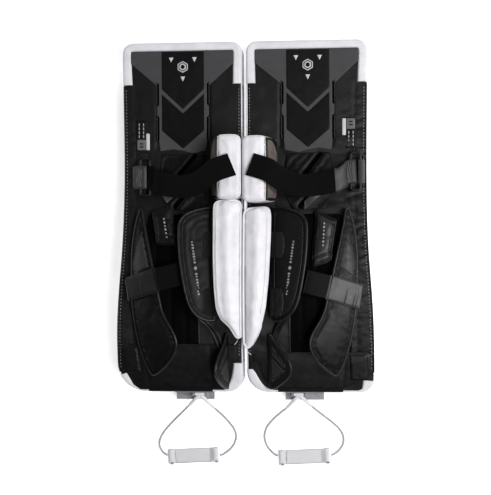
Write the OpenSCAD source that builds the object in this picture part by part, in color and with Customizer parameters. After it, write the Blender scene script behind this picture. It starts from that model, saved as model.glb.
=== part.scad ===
// A pair of ice hockey goalie leg pads, lying on their front faces with the leg side up.
// Each pad is drawn once in its own frame: x runs from the inner (medial) edge outwards,
// y from the toe end up to the thigh, and z up from the floor. place() puts a left and a
// right copy side by side.

/* [Pad] */
// Length of a pad from toe to thigh, along the floor
pad_length = 800; // [760:5:820]
// Thickness of a pad from its front face to its back
pad_thickness = 60; // [56:1:64]
// Height of the arch under the shin, where the boot section kicks forward
shin_arch = 28; // [20:1:30]
// Distance between the two pads' inner edges
pad_gap = 14; // [14:1:30]

/* [Blocks and wings] */
// Height of the knee block over the pad's back
knee_block_height = 90; // [86:1:92]
// Height of the calf block over the pad's back
calf_block_height = 66; // [62:1:68]
// Thickness of the padded wings
wing_thickness = 11; // [9:1:12]
// Lift of the inner calf wing's free edge, in degrees
inner_wing_lift = 14; // [12:1:15]
// Lift of the outer calf wing's free edge, in degrees
outer_wing_lift = 15; // [13:1:17]

/* [Straps] */
// Width of the elastic knee and calf straps
strap_width = 52; // [48:1:54]
// Thickness of the elastic straps
strap_thickness = 3; // [2:0.5:3]
// Diameter of the bar that the knee ring is bent from
ring_bar = 6.4; // [5:0.2:7]

/* [Toe tie] */
// Diameter of the toe cord
cord_diameter = 5; // [4:0.5:6]
// Length of the toe strap, over its rolled ends
toe_strap_length = 120; // [110:1:125]
// Width of the toe strap
toe_strap_width = 34; // [30:1:36]

/* [Hidden] */
SIDES = ["left", "right"];
PIECES = ["front_cover", "foam_core", "side_walls", "back_liner", "top_binding", "toe_guard",
          "thigh_panel", "thigh_inlays", "knee_sling", "channel_liner", "boot_panel",
          "knee_block", "knee_block_lining", "calf_block", "inner_calf_wing", "wing_loops",
          "outer_calf_wing", "ankle_wing", "knee_strap", "knee_strap_tab", "knee_ring",
          "ring_keeper", "calf_strap", "calf_strap_tab", "fit_tab", "toe_bridge",
          "toe_anchor", "toe_cords", "toe_strap", "toe_strap_flap"];

// Colours.
WHITE = [0.90, 0.90, 0.93];
BLACK = [0.06, 0.06, 0.07];
CHARCOAL = [0.13, 0.13, 0.14];
GREY = [0.30, 0.30, 0.32];
SILVER = [0.55, 0.55, 0.58];
TAUPE = [0.42, 0.36, 0.34];
FOAM = [0.75, 0.75, 0.70];

// Layers of the pad, from the front face.
cover = 3;
liner = 4;
wall = 4;
core_top = pad_thickness - liner;
boot_y = 190;                       // top of the arch
knee_y = 560;                       // where the face comes down flat to the floor
binding_lip = 1.5;                  // how far the bindings stand outside the walls
binding_y = pad_length - 95;        // lower ends of the top binding's arms
bridge_reach = 23;                  // how far the toe bridge reaches past the toe
clear = 0.5;                        // free space between pieces that move past each other

// Corner sizes in plan for the left and right pad: the boots twist a little the same way.
toe_corner_outer = [64, 30];
toe_corner_inner = [34, 46];

// Height of the front face over the floor at a distance y from the toe.
function face_z(y) =
    y <= 0 || y >= knee_y ? 0
    : y < boot_y ? shin_arch * sin(90 * y / boot_y)
    : shin_arch * (1 + cos(180 * (y - boot_y) / (knee_y - boot_y))) / 2;
function back_z(y) = face_z(y) + pad_thickness;

STATIONS = concat([-80], [for (i = [0:8]) boot_y * i / 8],
                  [for (i = [1:9]) boot_y + (knee_y - boot_y) * i / 9], [pad_length + 30]);

// A sheet that follows the pad's profile between two heights over its front face.
module band(low, high) {
    upper = [for (y = STATIONS) [y, face_z(y) + high]];
    lower = [for (i = [len(STATIONS) - 1:-1:0]) [STATIONS[i], face_z(STATIONS[i]) + low]];
    translate([-60, 0, 0]) rotate([90, 0, 90]) linear_extrude(420) polygon(concat(upper, lower));
}

// Points of an arc about c, from angle a to angle b.
function arc(c, r, a, b, n = 6) = [for (i = [0:n]) c + r * [cos(a + (b - a) * i / n), sin(a + (b - a) * i / n)]];

// Points of a cubic Bezier curve, without its last point.
function curve(p, q, r, s, n = 8) =
    [for (i = [0:n - 1]) let (t = i / n, u = 1 - t) u * u * u * p + 3 * u * u * t * q + 3 * u * t * t * r + t * t * t * s];

// The pad's outline in plan, moved outwards by grow.
function outline(grow, side) =
    let (top = pad_length + grow, ri = toe_corner_inner[side] + grow, ro = toe_corner_outer[side] + grow,
         low = [285 + grow, toe_corner_outer[side] + 20])
    concat(arc([ri - grow, ri - grow], ri, 270, 180),
           arc([22 - grow, top - 22], 22, 180, 90),
           arc([250 + grow, top - 22], 22, 90, 0),
           curve([272 + grow, top - 40], [270 + grow, 560], [266 + grow, 420], [275 + grow, 290]),
           curve([275 + grow, 290], [281 + grow, 210], [285 + grow, 160], low),
           arc([285 + grow - ro, ro - grow], ro, 0, -90));

module plan(points, low = -10, high = 260) {
    translate([0, 0, low]) linear_extrude(high - low) polygon(points);
}

module pad_plan(grow = 0) {
    plan(outline(grow, $side));
}

// A box from corner a to corner b.
module box(a, b) {
    translate(a) cube(b - a);
}

// ---- The pad body

module front_cover() {
    color(WHITE) intersection() {
        pad_plan();
        band(0, cover);
    }
}

module foam_core() {
    color(FOAM) intersection() {
        pad_plan(-wall);
        band(cover, core_top);
    }
}

// The walls run all round the core.
module side_walls() {
    color(CHARCOAL) intersection() {
        difference() {
            pad_plan();
            pad_plan(-wall);
        }
        band(cover, core_top);
    }
}

module back_liner() {
    color(BLACK) intersection() {
        pad_plan();
        band(core_top, pad_thickness);
    }
}

// A raised edge of width w on the back, with a lip down the outside of the wall.
module edge_binding(height, window) {
    difference() {
        intersection() {
            pad_plan(binding_lip);
            band(cover, pad_thickness + height);
        }
        intersection() {
            pad_plan();
            band(-50, pad_thickness);
        }
        plan(window);
    }
}

module top_binding() {
    side_w = 20;
    top_w = 18;
    color(WHITE) intersection() {
        edge_binding(3.5, [[side_w, -100], [272 - side_w, -100], [272 - side_w, pad_length - top_w - 6],
                           [266 - side_w, pad_length - top_w], [side_w + 6, pad_length - top_w],
                           [side_w, pad_length - top_w - 6]]);
        box([-50, binding_y, -10], [400, 900, 200]);
    }
}

module toe_guard() {
    outer_y = 40;
    inner_y = 66;
    window = concat([[-60, inner_y], [20, inner_y]],
                    curve([20, inner_y], [21, 30], [30, 8], [64, 3]),
                    [[64, 3], [214, 3]],
                    curve([214, 3], [238, 5], [252, 18], [258, outer_y]),
                    [[258, outer_y], [400, outer_y], [400, 900], [-60, 900]]);
    color(WHITE) edge_binding(2.5, window);
}

// ---- Panels sewn to the back

// Middle and half width of the thigh panel and the knee sling, on the left and the right pad.
panel_mid = [134, 139];
panel_half = 52;
PANEL_TOP = pad_length - 18.5;
SLING_TOP = 545;
SLING_LOW = 415;
panel_t = 2.5;

module thigh_panel() {
    m = panel_mid[$side];
    // One half of its outline, as distances from the middle.
    half = [[105, PANEL_TOP], [111, PANEL_TOP - 8], [111, 752], [56, 698], [56, 657], [60, 655], [60, 633],
            [56, 631], [56, 580], [panel_half, SLING_TOP]];
    other = [for (i = [len(half) - 1:-1:0]) [-half[i][0], half[i][1]]];
    color(GREY) intersection() {
        translate([m, 0, 0]) plan(concat(half, other));
        band(pad_thickness, pad_thickness + panel_t);
    }
}

// Two dark arrow shapes on the thigh panel.
module thigh_inlays() {
    w = 49;
    module arrow(top_side, top_mid, low_side, low_mid)
        translate([panel_mid[$side], 0, 0])
            plan([[-w, top_side], [-w, low_side], [0, low_mid], [w, low_side], [w, top_side], [0, top_mid]]);
    color(BLACK) intersection() {
        union() {
            arrow(PANEL_TOP - 1, PANEL_TOP - 1.5, 694, 648);
            arrow(683, 638, 599, 557);
        }
        band(pad_thickness + panel_t, pad_thickness + panel_t + 1);
    }
}

// The stretch panel behind the knee, with two slanting slots that lie the same way on both pads.
module knee_sling() {
    m = panel_mid[$side];
    slot = [62, 9];
    slant = $side == 0 ? -50 : 52;
    module cut(x, y) translate([x, y, 0]) rotate([0, 0, slant]) translate([-slot[0] / 2, -slot[1] / 2, 0])
        cube([slot[0], slot[1], 200]);
    color(GREY) difference() {
        intersection() {
            plan([[m - 50, SLING_TOP], [m - 54, 500], [m - 50, 440], [m - 36, SLING_LOW],
                  [m + 36, SLING_LOW], [m + 50, 440], [m + 54, 500], [m + 50, SLING_TOP]]);
            band(pad_thickness, pad_thickness + 5);
        }
        cut($side == 0 ? m - 10 : m + 10, 519);
        cut(m, 445);
    }
}

module channel_liner() {
    color(BLACK) intersection() {
        plan([[62, 112], [236, 112], [232, 300], [214, 405], [62, 405]]);
        band(pad_thickness, pad_thickness + 4);
    }
}

module boot_panel() {
    color(CHARCOAL) intersection() {
        plan([[24, 70], [36, 24], [62, 7], [216, 7], [240, 20], [255, 44], [278, 48], [279, 108], [12, 108], [10, 72]]);
        band(pad_thickness, pad_thickness + 3);
    }
}

// ---- The knee and calf blocks on the inner edge

KNEE_BLOCK = [442, 589];            // its lower and upper end
CALF_BLOCK = [120, 437];
BLOCK_OUT = -5;                     // how far the blocks stand over the pad's inner edge

module knee_block() {
    top = pad_thickness + knee_block_height;
    color(WHITE) intersection() {
        translate([0, KNEE_BLOCK[1], 0]) rotate([90, 0, 0]) linear_extrude(KNEE_BLOCK[1] - KNEE_BLOCK[0])
            polygon([[8, 55], [BLOCK_OUT, 74], [BLOCK_OUT, top - 12], [3, top], [44, top], [52, top - 8], [68, 55]]);
        translate([-60, 0, 0]) rotate([90, 0, 90]) linear_extrude(300)
            polygon([[KNEE_BLOCK[0] + 4, 50], [KNEE_BLOCK[0], 76], [KNEE_BLOCK[0], top - 10], [KNEE_BLOCK[0] + 8, top],
                     [KNEE_BLOCK[1] - 8, top], [KNEE_BLOCK[1], top - 10], [KNEE_BLOCK[1], 70], [KNEE_BLOCK[1] - 4, 50]]);
        band(pad_thickness, 250);
    }
}

// The grippy panel on the side of the knee block that faces the leg.
module knee_block_lining() {
    top = pad_thickness + knee_block_height;
    low = 74;
    // The block's side runs from [52, top - 8] to [68, 55], and the panel is 2.5 thick outside it.
    lean = (68 - 52) / (top - 8 - 55);
    foot = 52 + lean * (top - 8 - low);
    head = 52 + lean * 6;
    color(TAUPE) translate([0, KNEE_BLOCK[1] - 6, 0]) rotate([90, 0, 0])
        linear_extrude(KNEE_BLOCK[1] - KNEE_BLOCK[0] - 12)
            polygon([[foot, low], [head, top - 14], [head + 2.5, top - 14], [foot + 2.5, low]]);
}

module calf_block() {
    top = pad_thickness + calf_block_height;
    edge = 57;
    color(WHITE) intersection() {
        plan(concat([[BLOCK_OUT, CALF_BLOCK[0] + 4], [2, CALF_BLOCK[0]]],
                    curve([4, CALF_BLOCK[0]], [12, 138], [22, 146], [36, 158]),
                    curve([36, 158], [50, 172], [edge, 195], [edge, 225]),
                    [[edge, CALF_BLOCK[1] - 12], [edge - 10, CALF_BLOCK[1] - 2], [12, CALF_BLOCK[1]],
                     [BLOCK_OUT, CALF_BLOCK[1] - 10]]));
        difference() {
            band(pad_thickness, top);
            // Room under the outer edge for the calf wing.
            intersection() {
                band(pad_thickness, top - 12);
                box([36, -100, 0], [100, 900, 260]);
            }
            // The undercut of the inner edge.
            intersection() {
                band(pad_thickness - 10, pad_thickness + 8);
                box([-60, -100, 0], [6, 900, 260]);
            }
        }
    }
}

// ---- The padded wings

// A plate in plan that follows the pad's profile, and is turned by an angle about its pivot
// in x and z. It starts at a height low over the pad's back.
module wing_plate(points, pivot, lift, low, thickness) {
    z = pad_thickness + low;
    intersection() {
        plan(points);
        translate([pivot[0], 0, pivot[1]]) rotate([0, -lift, 0]) translate([-pivot[0], 0, -pivot[1]])
            band(z, z + thickness);
    }
}

INNER_WING = concat([[56, 165], [70, 164]],
                    curve([70, 164], [100, 170], [114, 188], [122, 225]),
                    curve([122, 225], [130, 262], [140, 320], [138, 375]),
                    curve([138, 375], [138, 402], [118, 412], [78, 420]),
                    [[78, 420], [56, 420]]);
inner_pivot = [56, 96];
inner_wing_low = 18;

module inner_calf_wing() {
    color(CHARCOAL) wing_plate(INNER_WING, inner_pivot, inner_wing_lift, inner_wing_low, wing_thickness);
}

// Two webbing loops sewn across the root of the inner calf wing.
module wing_loops() {
    low = inner_wing_low + wing_thickness;
    color(BLACK) for (y = [[176, 238], [306, 364]])
        wing_plate([[58, y[0]], [84, y[0]], [90, y[0] + 8], [90, y[1] - 8], [84, y[1]], [58, y[1]]],
                   inner_pivot, inner_wing_lift, low, 2.5);
}

OUTER_WING = concat(curve([249, 310], [247, 350], [242, 390], [229, 420]),
                    [[229, 420], [224, 419]],
                    curve([219, 385], [207, 325], [192, 262], [180, 205]),
                    curve([180, 205], [174, 165], [142, 142], [142, 112]),
                    curve([142, 112], [144, 86], [172, 54], [201, 38]),
                    curve([201, 38], [222, 62], [240, 130], [247, 205]));
outer_pivot = [252, 88];
outer_wing_low = 5;

module outer_calf_wing() {
    color(CHARCOAL) wing_plate(OUTER_WING, outer_pivot, -outer_wing_lift, outer_wing_low, wing_thickness);
}

// The ankle wing stands on the inner side of the boot, steeper on the left pad. Its root
// climbs with the back of the boot.
ankle_lift = [66, 28];
ankle_x = [34, 50];
ankle_z = 69.5;
ankle_slope = 9;

module ankle_wing() {
    shape = concat([[0, 12], [0, 136], [7, 136]],
                   curve([7, 136], [14, 110], [58, 92], [60, 62]),
                   curve([60, 62], [60, 42], [30, 20], [12, 10]),
                   [[12, 10], [4, 9]]);
    color(CHARCOAL) translate([ankle_x[$side], 0, ankle_z]) rotate([ankle_slope, 0, 0])
        rotate([0, -ankle_lift[$side], 0]) linear_extrude(wing_thickness - 3) polygon(shape);
}

// ---- The knee strap, with its tab, ring and keeper

ring_size = [28, 84];
ring_y = [491, 500];                // middle of the ring, on the left and the right pad
ring_x = [231, 257];                // its outer bar, which is the hinge
ring_z = 75;
ring_corner = 6;

module knee_ring() {
    r = ring_corner;
    x = [ring_x[$side] - ring_size[0] + ring_bar, ring_x[$side]];
    y = [ring_y[$side] - ring_size[1] / 2, ring_y[$side] + ring_size[1] / 2];
    color(GREY) translate([0, 0, ring_z]) {
        for (i = [0, 1]) {
            translate([x[i], y[0] + r, 0]) rotate([-90, 0, 0]) cylinder(h = ring_size[1] - 2 * r, d = ring_bar, $fn = 32);
            translate([x[0] + r, y[i], 0]) rotate([0, 90, 0]) cylinder(h = x[1] - x[0] - 2 * r, d = ring_bar, $fn = 32);
        }
        for (corner = [[x[0] + r, y[0] + r, 180], [x[1] - r, y[0] + r, 270], [x[1] - r, y[1] - r, 0], [x[0] + r, y[1] - r, 90]])
            translate([corner[0], corner[1], 0]) rotate([0, 0, corner[2]]) rotate_extrude(angle = 90, $fn = 32)
                translate([r, 0]) circle(d = ring_bar, $fn = 32);
    }
}

// Webbing that holds the ring's outer bar down to the pad.
keeper_reach = [21, 10];

module ring_keeper() {
    w = 54;
    x = ring_x[$side];
    y = ring_y[$side];
    end = x + keeper_reach[$side];
    color(SILVER) difference() {
        union() {
            translate([x, y - w / 2, ring_z]) rotate([-90, 0, 0]) cylinder(h = w, d = ring_bar + 4, $fn = 48);
            intersection() {
                translate([0, y + w / 2, 0]) rotate([90, 0, 0]) linear_extrude(w)
                    polygon([[x - 2, 50], [x - 2, ring_z - 4], [x + 2, ring_z + 4.6], [x + 5, ring_z + 2],
                             [end - 3, 68], [end, 66], [end, 50]]);
                band(pad_thickness, 200);
            }
        }
        translate([x, y - w, ring_z]) rotate([-90, 0, 0]) cylinder(h = 2 * w, d = ring_bar + 0.12, $fn = 48);
    }
}

// A slab across a strap's run: its middle, width, heading in plan and thickness.
module slab(at, width, heading, t = strap_thickness) {
    translate(at) rotate([0, 0, heading]) translate([-0.5, -width / 2, 0]) cube([1, width, t]);
}

// A strap through a list of [point, width, heading] stations.
module strap(stations, t = strap_thickness) {
    for (i = [0:len(stations) - 2]) hull() {
        slab(stations[i][0], stations[i][1], stations[i][2], t);
        slab(stations[i + 1][0], stations[i + 1][1], stations[i + 1][2], t);
    }
}

tab_end_x = [190, 204];             // where the tab by the ring ends and the elastic begins

module knee_strap() {
    color(BLACK) strap([[[tab_end_x[$side], 480, 87], strap_width, 6], [[160, 471, 95], strap_width, 2],
                        [[118, 468, 110], strap_width, -10], [[80, 482, 133], strap_width, -18],
                        [[54, 500, 152.5], strap_width, -22], [[13, 514, 151.5], strap_width, -22]]);
}

// The tab folds over the ring's inner bar.
module knee_strap_tab() {
    x = ring_x[$side] - ring_size[0] + ring_bar;
    y = ring_y[$side];
    top = ring_z + ring_bar / 2;
    color(BLACK) strap([[[tab_end_x[$side] + 1, 480, 87], strap_width + 2, 6], [[x - 5, y - 2, top + 1.5], 54, 2],
                        [[x + 7, y, top], 54, 0]], 3);
}

// ---- The calf strap and its tab, which lie over the outer calf wing

calf_strap_y = [259, 241];          // its middle, on the left and the right pad

module calf_strap() {
    y = calf_strap_y[$side];
    color(BLACK) strap([[[143, y + 10, 117], strap_width, -14], [[184, y, 129], strap_width, -13]]);
}

module calf_strap_tab() {
    y = calf_strap_y[$side];
    color(GREY) strap([[[185, y, 129], strap_width + 3, -13], [[222, y - 12, 121], strap_width + 3, -16],
                       [[258, y - 24, 108.3], strap_width + 3, -8]]);
}

// ---- The padded fit tab that hangs from the knee sling

fit_turn = [9.5, 3.5];
fit_length = [92, 118];
fit_top = [[181, 419], [179, 407]];
fit_low = 8;

module fit_tab() {
    l = fit_length[$side];
    color(CHARCOAL) intersection() {
        translate([fit_top[$side][0], fit_top[$side][1], 0]) rotate([0, 0, -fit_turn[$side]])
            plan([[-23, 0], [-23, -l + 4], [-19, -l], [6, -l], [23, -l + 14], [23, 0]]);
        band(pad_thickness + fit_low, pad_thickness + fit_low + 12);
    }
}

// ---- The toe bridge and toe tie

toe_hub_x = [100, 115];             // middle of the toe tie, on the left and the right pad
hinge_y = -9;
hinge_z = 46;
pin_d = 5;
lug_gap = 26;

module toe_bridge() {
    hub_x = toe_hub_x[$side];
    x = [hub_x - 32, hub_x + 57];
    color(SILVER) {
        box([x[0], -5, 12], [x[1], -binding_lip, 50]);
        box([x[0], -bridge_reach, 24], [x[1], -5, 28]);
        for (i = [-1, 1]) difference() {
            union() {
                box([hub_x + i * (lug_gap / 2 + 2) - 2, hinge_y - 5, 28], [hub_x + i * (lug_gap / 2 + 2) + 2, -5, hinge_z]);
                translate([hub_x + i * (lug_gap / 2 + 2) - 2, hinge_y, hinge_z]) rotate([0, 90, 0]) cylinder(h = 4, d = 10, $fn = 40);
            }
        }
        translate([hub_x - lug_gap / 2 - 1, hinge_y, hinge_z]) rotate([0, 90, 0]) cylinder(h = lug_gap + 2, d = pin_d, $fn = 40);
    }
}

// Arm ends of the anchor, from its middle: where the outer and inner cord come out.
ARM_OUT = [27, -28, -22];
ARM_IN = [-30, -35, -26];

module toe_anchor() {
    color(WHITE) translate([toe_hub_x[$side], hinge_y, hinge_z]) difference() {
        union() {
            translate([-lug_gap / 2 + 1, 0, 0]) rotate([0, 90, 0]) cylinder(h = lug_gap - 2, d = 7.6, $fn = 40);
            for (end = [ARM_OUT, ARM_IN]) {
                along = norm(end);
                rotate([0, acos(end[2] / along), atan2(end[1], end[0])]) cylinder(h = along, d1 = 6.4, d2 = 8.2, $fn = 32);
            }
        }
        translate([-lug_gap, 0, 0]) rotate([0, 90, 0]) cylinder(h = 2 * lug_gap, d = pin_d + 0.16, $fn = 40);
    }
}

// Routes of the two cords in plan and height, from the anchor's arms to the toe strap's ends.
// There is a route for the left and for the right pad, measured from the hinge.
CORD_OUT = [
    [[27, -28, 24], [32, -33, 21.2], [39, -40, 17], [48, -49, 11.6], [57, -58, 7], [66, -67, 4], [75, -76, 2.8],
     [84, -86, 2.6], [92, -96, 2.6], [98, -106, 2.6], [102, -117, 2.6], [102, -128, 2.8], [97, -138, 3.6],
     [91, -145, 5.2], [83, -149, 7]],
    [[27, -28, 24], [32, -33, 21.2], [39, -39, 17], [48, -47, 11.6], [58, -55, 7], [68, -63, 4], [78, -71, 2.8],
     [88, -80, 2.6], [96, -90, 2.6], [101, -101, 2.6], [102, -112, 2.6], [99, -123, 2.8], [92, -133, 3.6],
     [84, -140, 5.2], [72.5, -146, 7]]];
CORD_IN = [
    [[-30, -35, 20], [-36, -41, 17], [-43, -48, 13], [-51, -56, 8.8], [-59, -65, 5.4], [-66, -74, 3.4], [-73, -83, 2.7],
     [-78, -93, 2.6], [-80, -104, 2.6], [-78, -115, 2.6], [-73, -125, 2.7], [-66, -134, 3.2], [-57, -141, 4.4],
     [-49, -146, 5.8], [-41, -149, 7]],
    [[-30, -35, 20], [-37, -40, 17], [-45, -47, 13], [-54, -55, 8.8], [-63, -64, 5.4], [-71, -73, 3.4], [-78, -83, 2.7],
     [-82, -94, 2.6], [-83, -105, 2.6], [-81, -116, 2.6], [-77, -126, 2.7], [-71, -134, 3.2], [-64, -141, 4.4],
     [-59, -145, 5.8], [-52, -148, 7]]];
cord_sides = 8;

// A tube swept along a route, with its end rings square to it.
module tube(route, d) {
    n = len(route);
    function heading(i) = let (v = route[min(i + 1, n - 1)] - route[max(i - 1, 0)]) v / norm(v);
    function ring(i) = let (t = heading(i), u = cross(t, [0, 0, 1]) / norm(cross(t, [0, 0, 1])), w = cross(u, t))
        [for (k = [0:cord_sides - 1]) route[i] + d / 2 * (cos(360 * k / cord_sides) * u + sin(360 * k / cord_sides) * w)];
    points = [for (i = [0:n - 1]) each ring(i)];
    sides = [for (i = [0:n - 2], k = [0:cord_sides - 1]) let (m = (k + 1) % cord_sides)
                [i * cord_sides + k, i * cord_sides + m, (i + 1) * cord_sides + m, (i + 1) * cord_sides + k]];
    first = [for (k = [cord_sides - 1:-1:0]) k];
    last = [for (k = [0:cord_sides - 1]) (n - 1) * cord_sides + k];
    polyhedron(points, concat(sides, [first], [last]), convexity = 8);
}

module toe_place() {
    translate([toe_hub_x[$side], hinge_y, 0]) children();
}

module toe_cords() {
    color(SILVER) toe_place() {
        tube(CORD_OUT[$side], cord_diameter);
        tube(CORD_IN[$side], cord_diameter);
    }
}

toe_strap_mid = [21, 10];           // its middle, from the middle of the toe tie
toe_strap_y = -149;
roll_d = 15;

// A band between two rolled ends, with an eyelet in the toe end of each roll.
module toe_strap() {
    y = [toe_strap_y - toe_strap_width / 2, toe_strap_y + toe_strap_width / 2];
    reach = toe_strap_length / 2 - roll_d / 2;
    x = [toe_strap_mid[$side] - reach, toe_strap_mid[$side] + reach];
    color(WHITE) toe_place() {
        difference() {
            union() {
                box([x[0], y[0], 5.5], [x[1], y[1], 8.5]);
                for (end = x) translate([end, y[0] - 1, roll_d / 2]) rotate([-90, 0, 0])
                    cylinder(h = toe_strap_width + 2, d = roll_d, $fn = 40);
            }
            for (end = x) translate([end, y[0] - 5, roll_d / 2]) rotate([-90, 0, 0])
                cylinder(h = toe_strap_width + 10, d = roll_d - 4, $fn = 40);
        }
        for (end = x) translate([end, y[0] - 2, roll_d / 2]) rotate([-90, 0, 0]) difference() {
            cylinder(h = 6, d = roll_d - 4, $fn = 40);
            translate([0, 0, -1]) cylinder(h = 8, d = roll_d - 7, $fn = 40);
        }
    }
}

module toe_strap_flap() {
    reach = toe_strap_length / 2 - roll_d - 4;
    y = [toe_strap_y - toe_strap_width / 2 + 1, toe_strap_y + toe_strap_width / 2 - 1];
    color(WHITE) toe_place()
        box([toe_strap_mid[$side] - reach, y[0], 8.5 + clear], [toe_strap_mid[$side] + reach, y[1], 11.5]);
}

// Puts a piece on the left or the right pad. The origin is the middle of the pads' footprint:
// the right pad's toe guard stands out further than the left one's by the lip of its binding.
module place(side) {
    $side = side;
    y = -(pad_length + binding_lip - bridge_reach) / 2;
    translate([-binding_lip / 2, y, 0]) mirror([side == 0 ? 1 : 0, 0, 0]) translate([pad_gap / 2, 0, 0]) children();
}

for (side = [0, 1]) place(side) {
    front_cover();
    foam_core();
    side_walls();
    back_liner();
    top_binding();
    toe_guard();
    thigh_panel();
    thigh_inlays();
    knee_sling();
    channel_liner();
    boot_panel();
    knee_block();
    knee_block_lining();
    calf_block();
    inner_calf_wing();
    wing_loops();
    outer_calf_wing();
    ankle_wing();
    knee_strap();
    knee_strap_tab();
    knee_ring();
    ring_keeper();
    calf_strap();
    calf_strap_tab();
    fit_tab();
    toe_bridge();
    toe_anchor();
    toe_cords();
    toe_strap();
    toe_strap_flap();
}
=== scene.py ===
"""A pair of goalie leg pads, lying on their front faces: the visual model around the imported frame.

Each pad is described once, in millimetres in the pad's own frame: x from the inner edge
outwards, y from the toe to the thigh, z up. Side 0 is the left pad and side 1 the right one,
and a pair of values in brackets before [side] is for the left and the right pad.
"""

import math

import bpy
import numpy as np
from mathutils import Euler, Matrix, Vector, noise
from mathutils.geometry import delaunay_2d_cdt

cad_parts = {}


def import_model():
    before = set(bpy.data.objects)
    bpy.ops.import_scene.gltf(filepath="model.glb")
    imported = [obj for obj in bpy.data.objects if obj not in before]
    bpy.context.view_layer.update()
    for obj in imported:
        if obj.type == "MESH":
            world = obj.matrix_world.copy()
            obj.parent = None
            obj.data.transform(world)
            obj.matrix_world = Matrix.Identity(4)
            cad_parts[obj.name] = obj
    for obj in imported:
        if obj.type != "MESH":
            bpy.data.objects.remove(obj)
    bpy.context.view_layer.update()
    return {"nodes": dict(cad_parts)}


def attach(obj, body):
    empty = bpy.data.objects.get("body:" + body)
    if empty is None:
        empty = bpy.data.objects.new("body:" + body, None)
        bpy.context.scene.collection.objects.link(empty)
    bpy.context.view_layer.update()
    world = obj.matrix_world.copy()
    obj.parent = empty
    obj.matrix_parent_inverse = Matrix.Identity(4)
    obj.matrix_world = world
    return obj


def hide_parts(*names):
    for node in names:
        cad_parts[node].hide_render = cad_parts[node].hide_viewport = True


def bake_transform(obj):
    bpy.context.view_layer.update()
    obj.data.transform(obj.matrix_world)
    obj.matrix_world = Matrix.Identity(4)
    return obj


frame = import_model()

SIDES = ("left", "right")
# Where the pads' own frames lie in the row's frame
GAP = 7.0
SHIFT_X = -0.75
SHIFT_Y = -389.25
# The pad's body: its thickness, and the bow of its front face over the floor
THICKNESS = 60
TOE_RISE, BOW_START, BOW_END = 28, 190, 560


# ---- Paths and heights


def world(side, points):
    """Points in millimetres in a pad's frame, as points in metres in the row's frame."""
    p = np.array(points, float).reshape(-1, 3)
    sign = 1 if side else -1
    return np.column_stack((sign * (GAP + p[:, 0]) + SHIFT_X, p[:, 1] + SHIFT_Y, p[:, 2])) / 1000


def face_z(y):
    """Height of the front face over the floor."""
    y = np.asarray(y, float)
    toe = TOE_RISE * np.sin(np.pi / 2 * np.clip(y, 0, BOW_START) / BOW_START)
    part = (np.clip(y, BOW_START, BOW_END) - BOW_START) / (BOW_END - BOW_START)
    return np.where(y < BOW_START, toe, TOE_RISE / 2 * (1 + np.cos(np.pi * part)))


def back_z(y):
    """Height of the leg side over the floor."""
    return face_z(y) + THICKNESS


def over_back(height):
    """A surface at a height over the pad's back."""
    return lambda q: back_z(np.asarray(q)[:, 1]) + height


def level(height):
    """A level surface."""
    return lambda q: np.full(len(q), float(height))


def put_on(surface):
    """What puts points in plan on a surface."""
    return lambda q: np.column_stack((q, surface(q)))


def bezier(a, b, c, d, n=12):
    t = np.linspace(0, 1, n + 1)[:, None]
    a, b, c, d = (np.array(q, float) for q in (a, b, c, d))
    return (1 - t) ** 3 * a + 3 * (1 - t) ** 2 * t * b + 3 * (1 - t) * t**2 * c + t**3 * d


def arc(centre, r, start, end, n=10):
    t = np.radians(np.linspace(start, end, n + 1))
    return np.column_stack((centre[0] + r * np.cos(t), centre[1] + r * np.sin(t)))


def join(*paths):
    """One path from several, without points that repeat."""
    points = np.vstack([np.atleast_2d(np.array(p, float)) for p in paths])
    keep = np.r_[True, np.linalg.norm(np.diff(points, axis=0), axis=1) > 1e-4]
    return points[keep]


def looped(path):
    """A closed path with its first point again at its end."""
    return np.vstack((path, path[:1]))


def travelled(path):
    """How far each point is along a path."""
    return np.r_[0, np.cumsum(np.linalg.norm(np.diff(path, axis=0), axis=1))]


def along(path, step=None, count=None, closed=False):
    """The path again, with points at an even spacing."""
    p = looped(np.array(path, float)) if closed else np.array(path, float)
    d = travelled(p)
    n = count or max(2, int(round(d[-1] / step)) + 1)
    t = np.linspace(0, d[-1], n + 1 if closed else n)
    out = np.column_stack([np.interp(t, d, p[:, k]) for k in range(p.shape[1])])
    return out[:-1] if closed else out


def chain(*parts):
    """One path from parts that meet, each with its number of points."""
    return np.vstack([along(p, count=n)[min(k, 1):] for k, (p, n) in enumerate(parts)])


def smooth(path, times=2):
    """Softens a path's corners, and keeps its ends."""
    p = np.array(path, float)
    for _ in range(times):
        p[1:-1] = (p[:-2] + 2 * p[1:-1] + p[2:]) / 4
    return p


def unit(vectors):
    return vectors / (np.linalg.norm(vectors, axis=-1)[..., None] + 1e-9)


def normals(path):
    """Unit vectors to the left of a path in plan."""
    d = unit(np.gradient(np.array(path, float)[:, :2], axis=0))
    return np.column_stack((-d[:, 1], d[:, 0]))


def inward(path):
    """Unit vectors into a closed path that runs counterclockwise."""
    d = unit(np.roll(path, -1, 0) - np.roll(path, 1, 0))
    return np.column_stack((-d[:, 1], d[:, 0]))


def counterclockwise(path):
    p = np.array(path, float)
    area = (p[:, 0] * np.roll(p[:, 1], -1) - np.roll(p[:, 0], -1) * p[:, 1]).sum()
    return p if area > 0 else p[::-1]


def dist(points, path, closed=False):
    """How far each point is from a path, in plan."""
    p = np.asarray(points, float)[:, None, :2]
    a = np.asarray(path, float)[:, :2]
    b = np.roll(a, -1, 0) if closed else a[1:]
    a = a if closed else a[:-1]
    ab = b - a
    t = np.clip(((p - a) * ab).sum(-1) / ((ab**2).sum(-1) + 1e-12), 0, 1)
    return np.linalg.norm(p - a - t[..., None] * ab, axis=-1).min(1)


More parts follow.
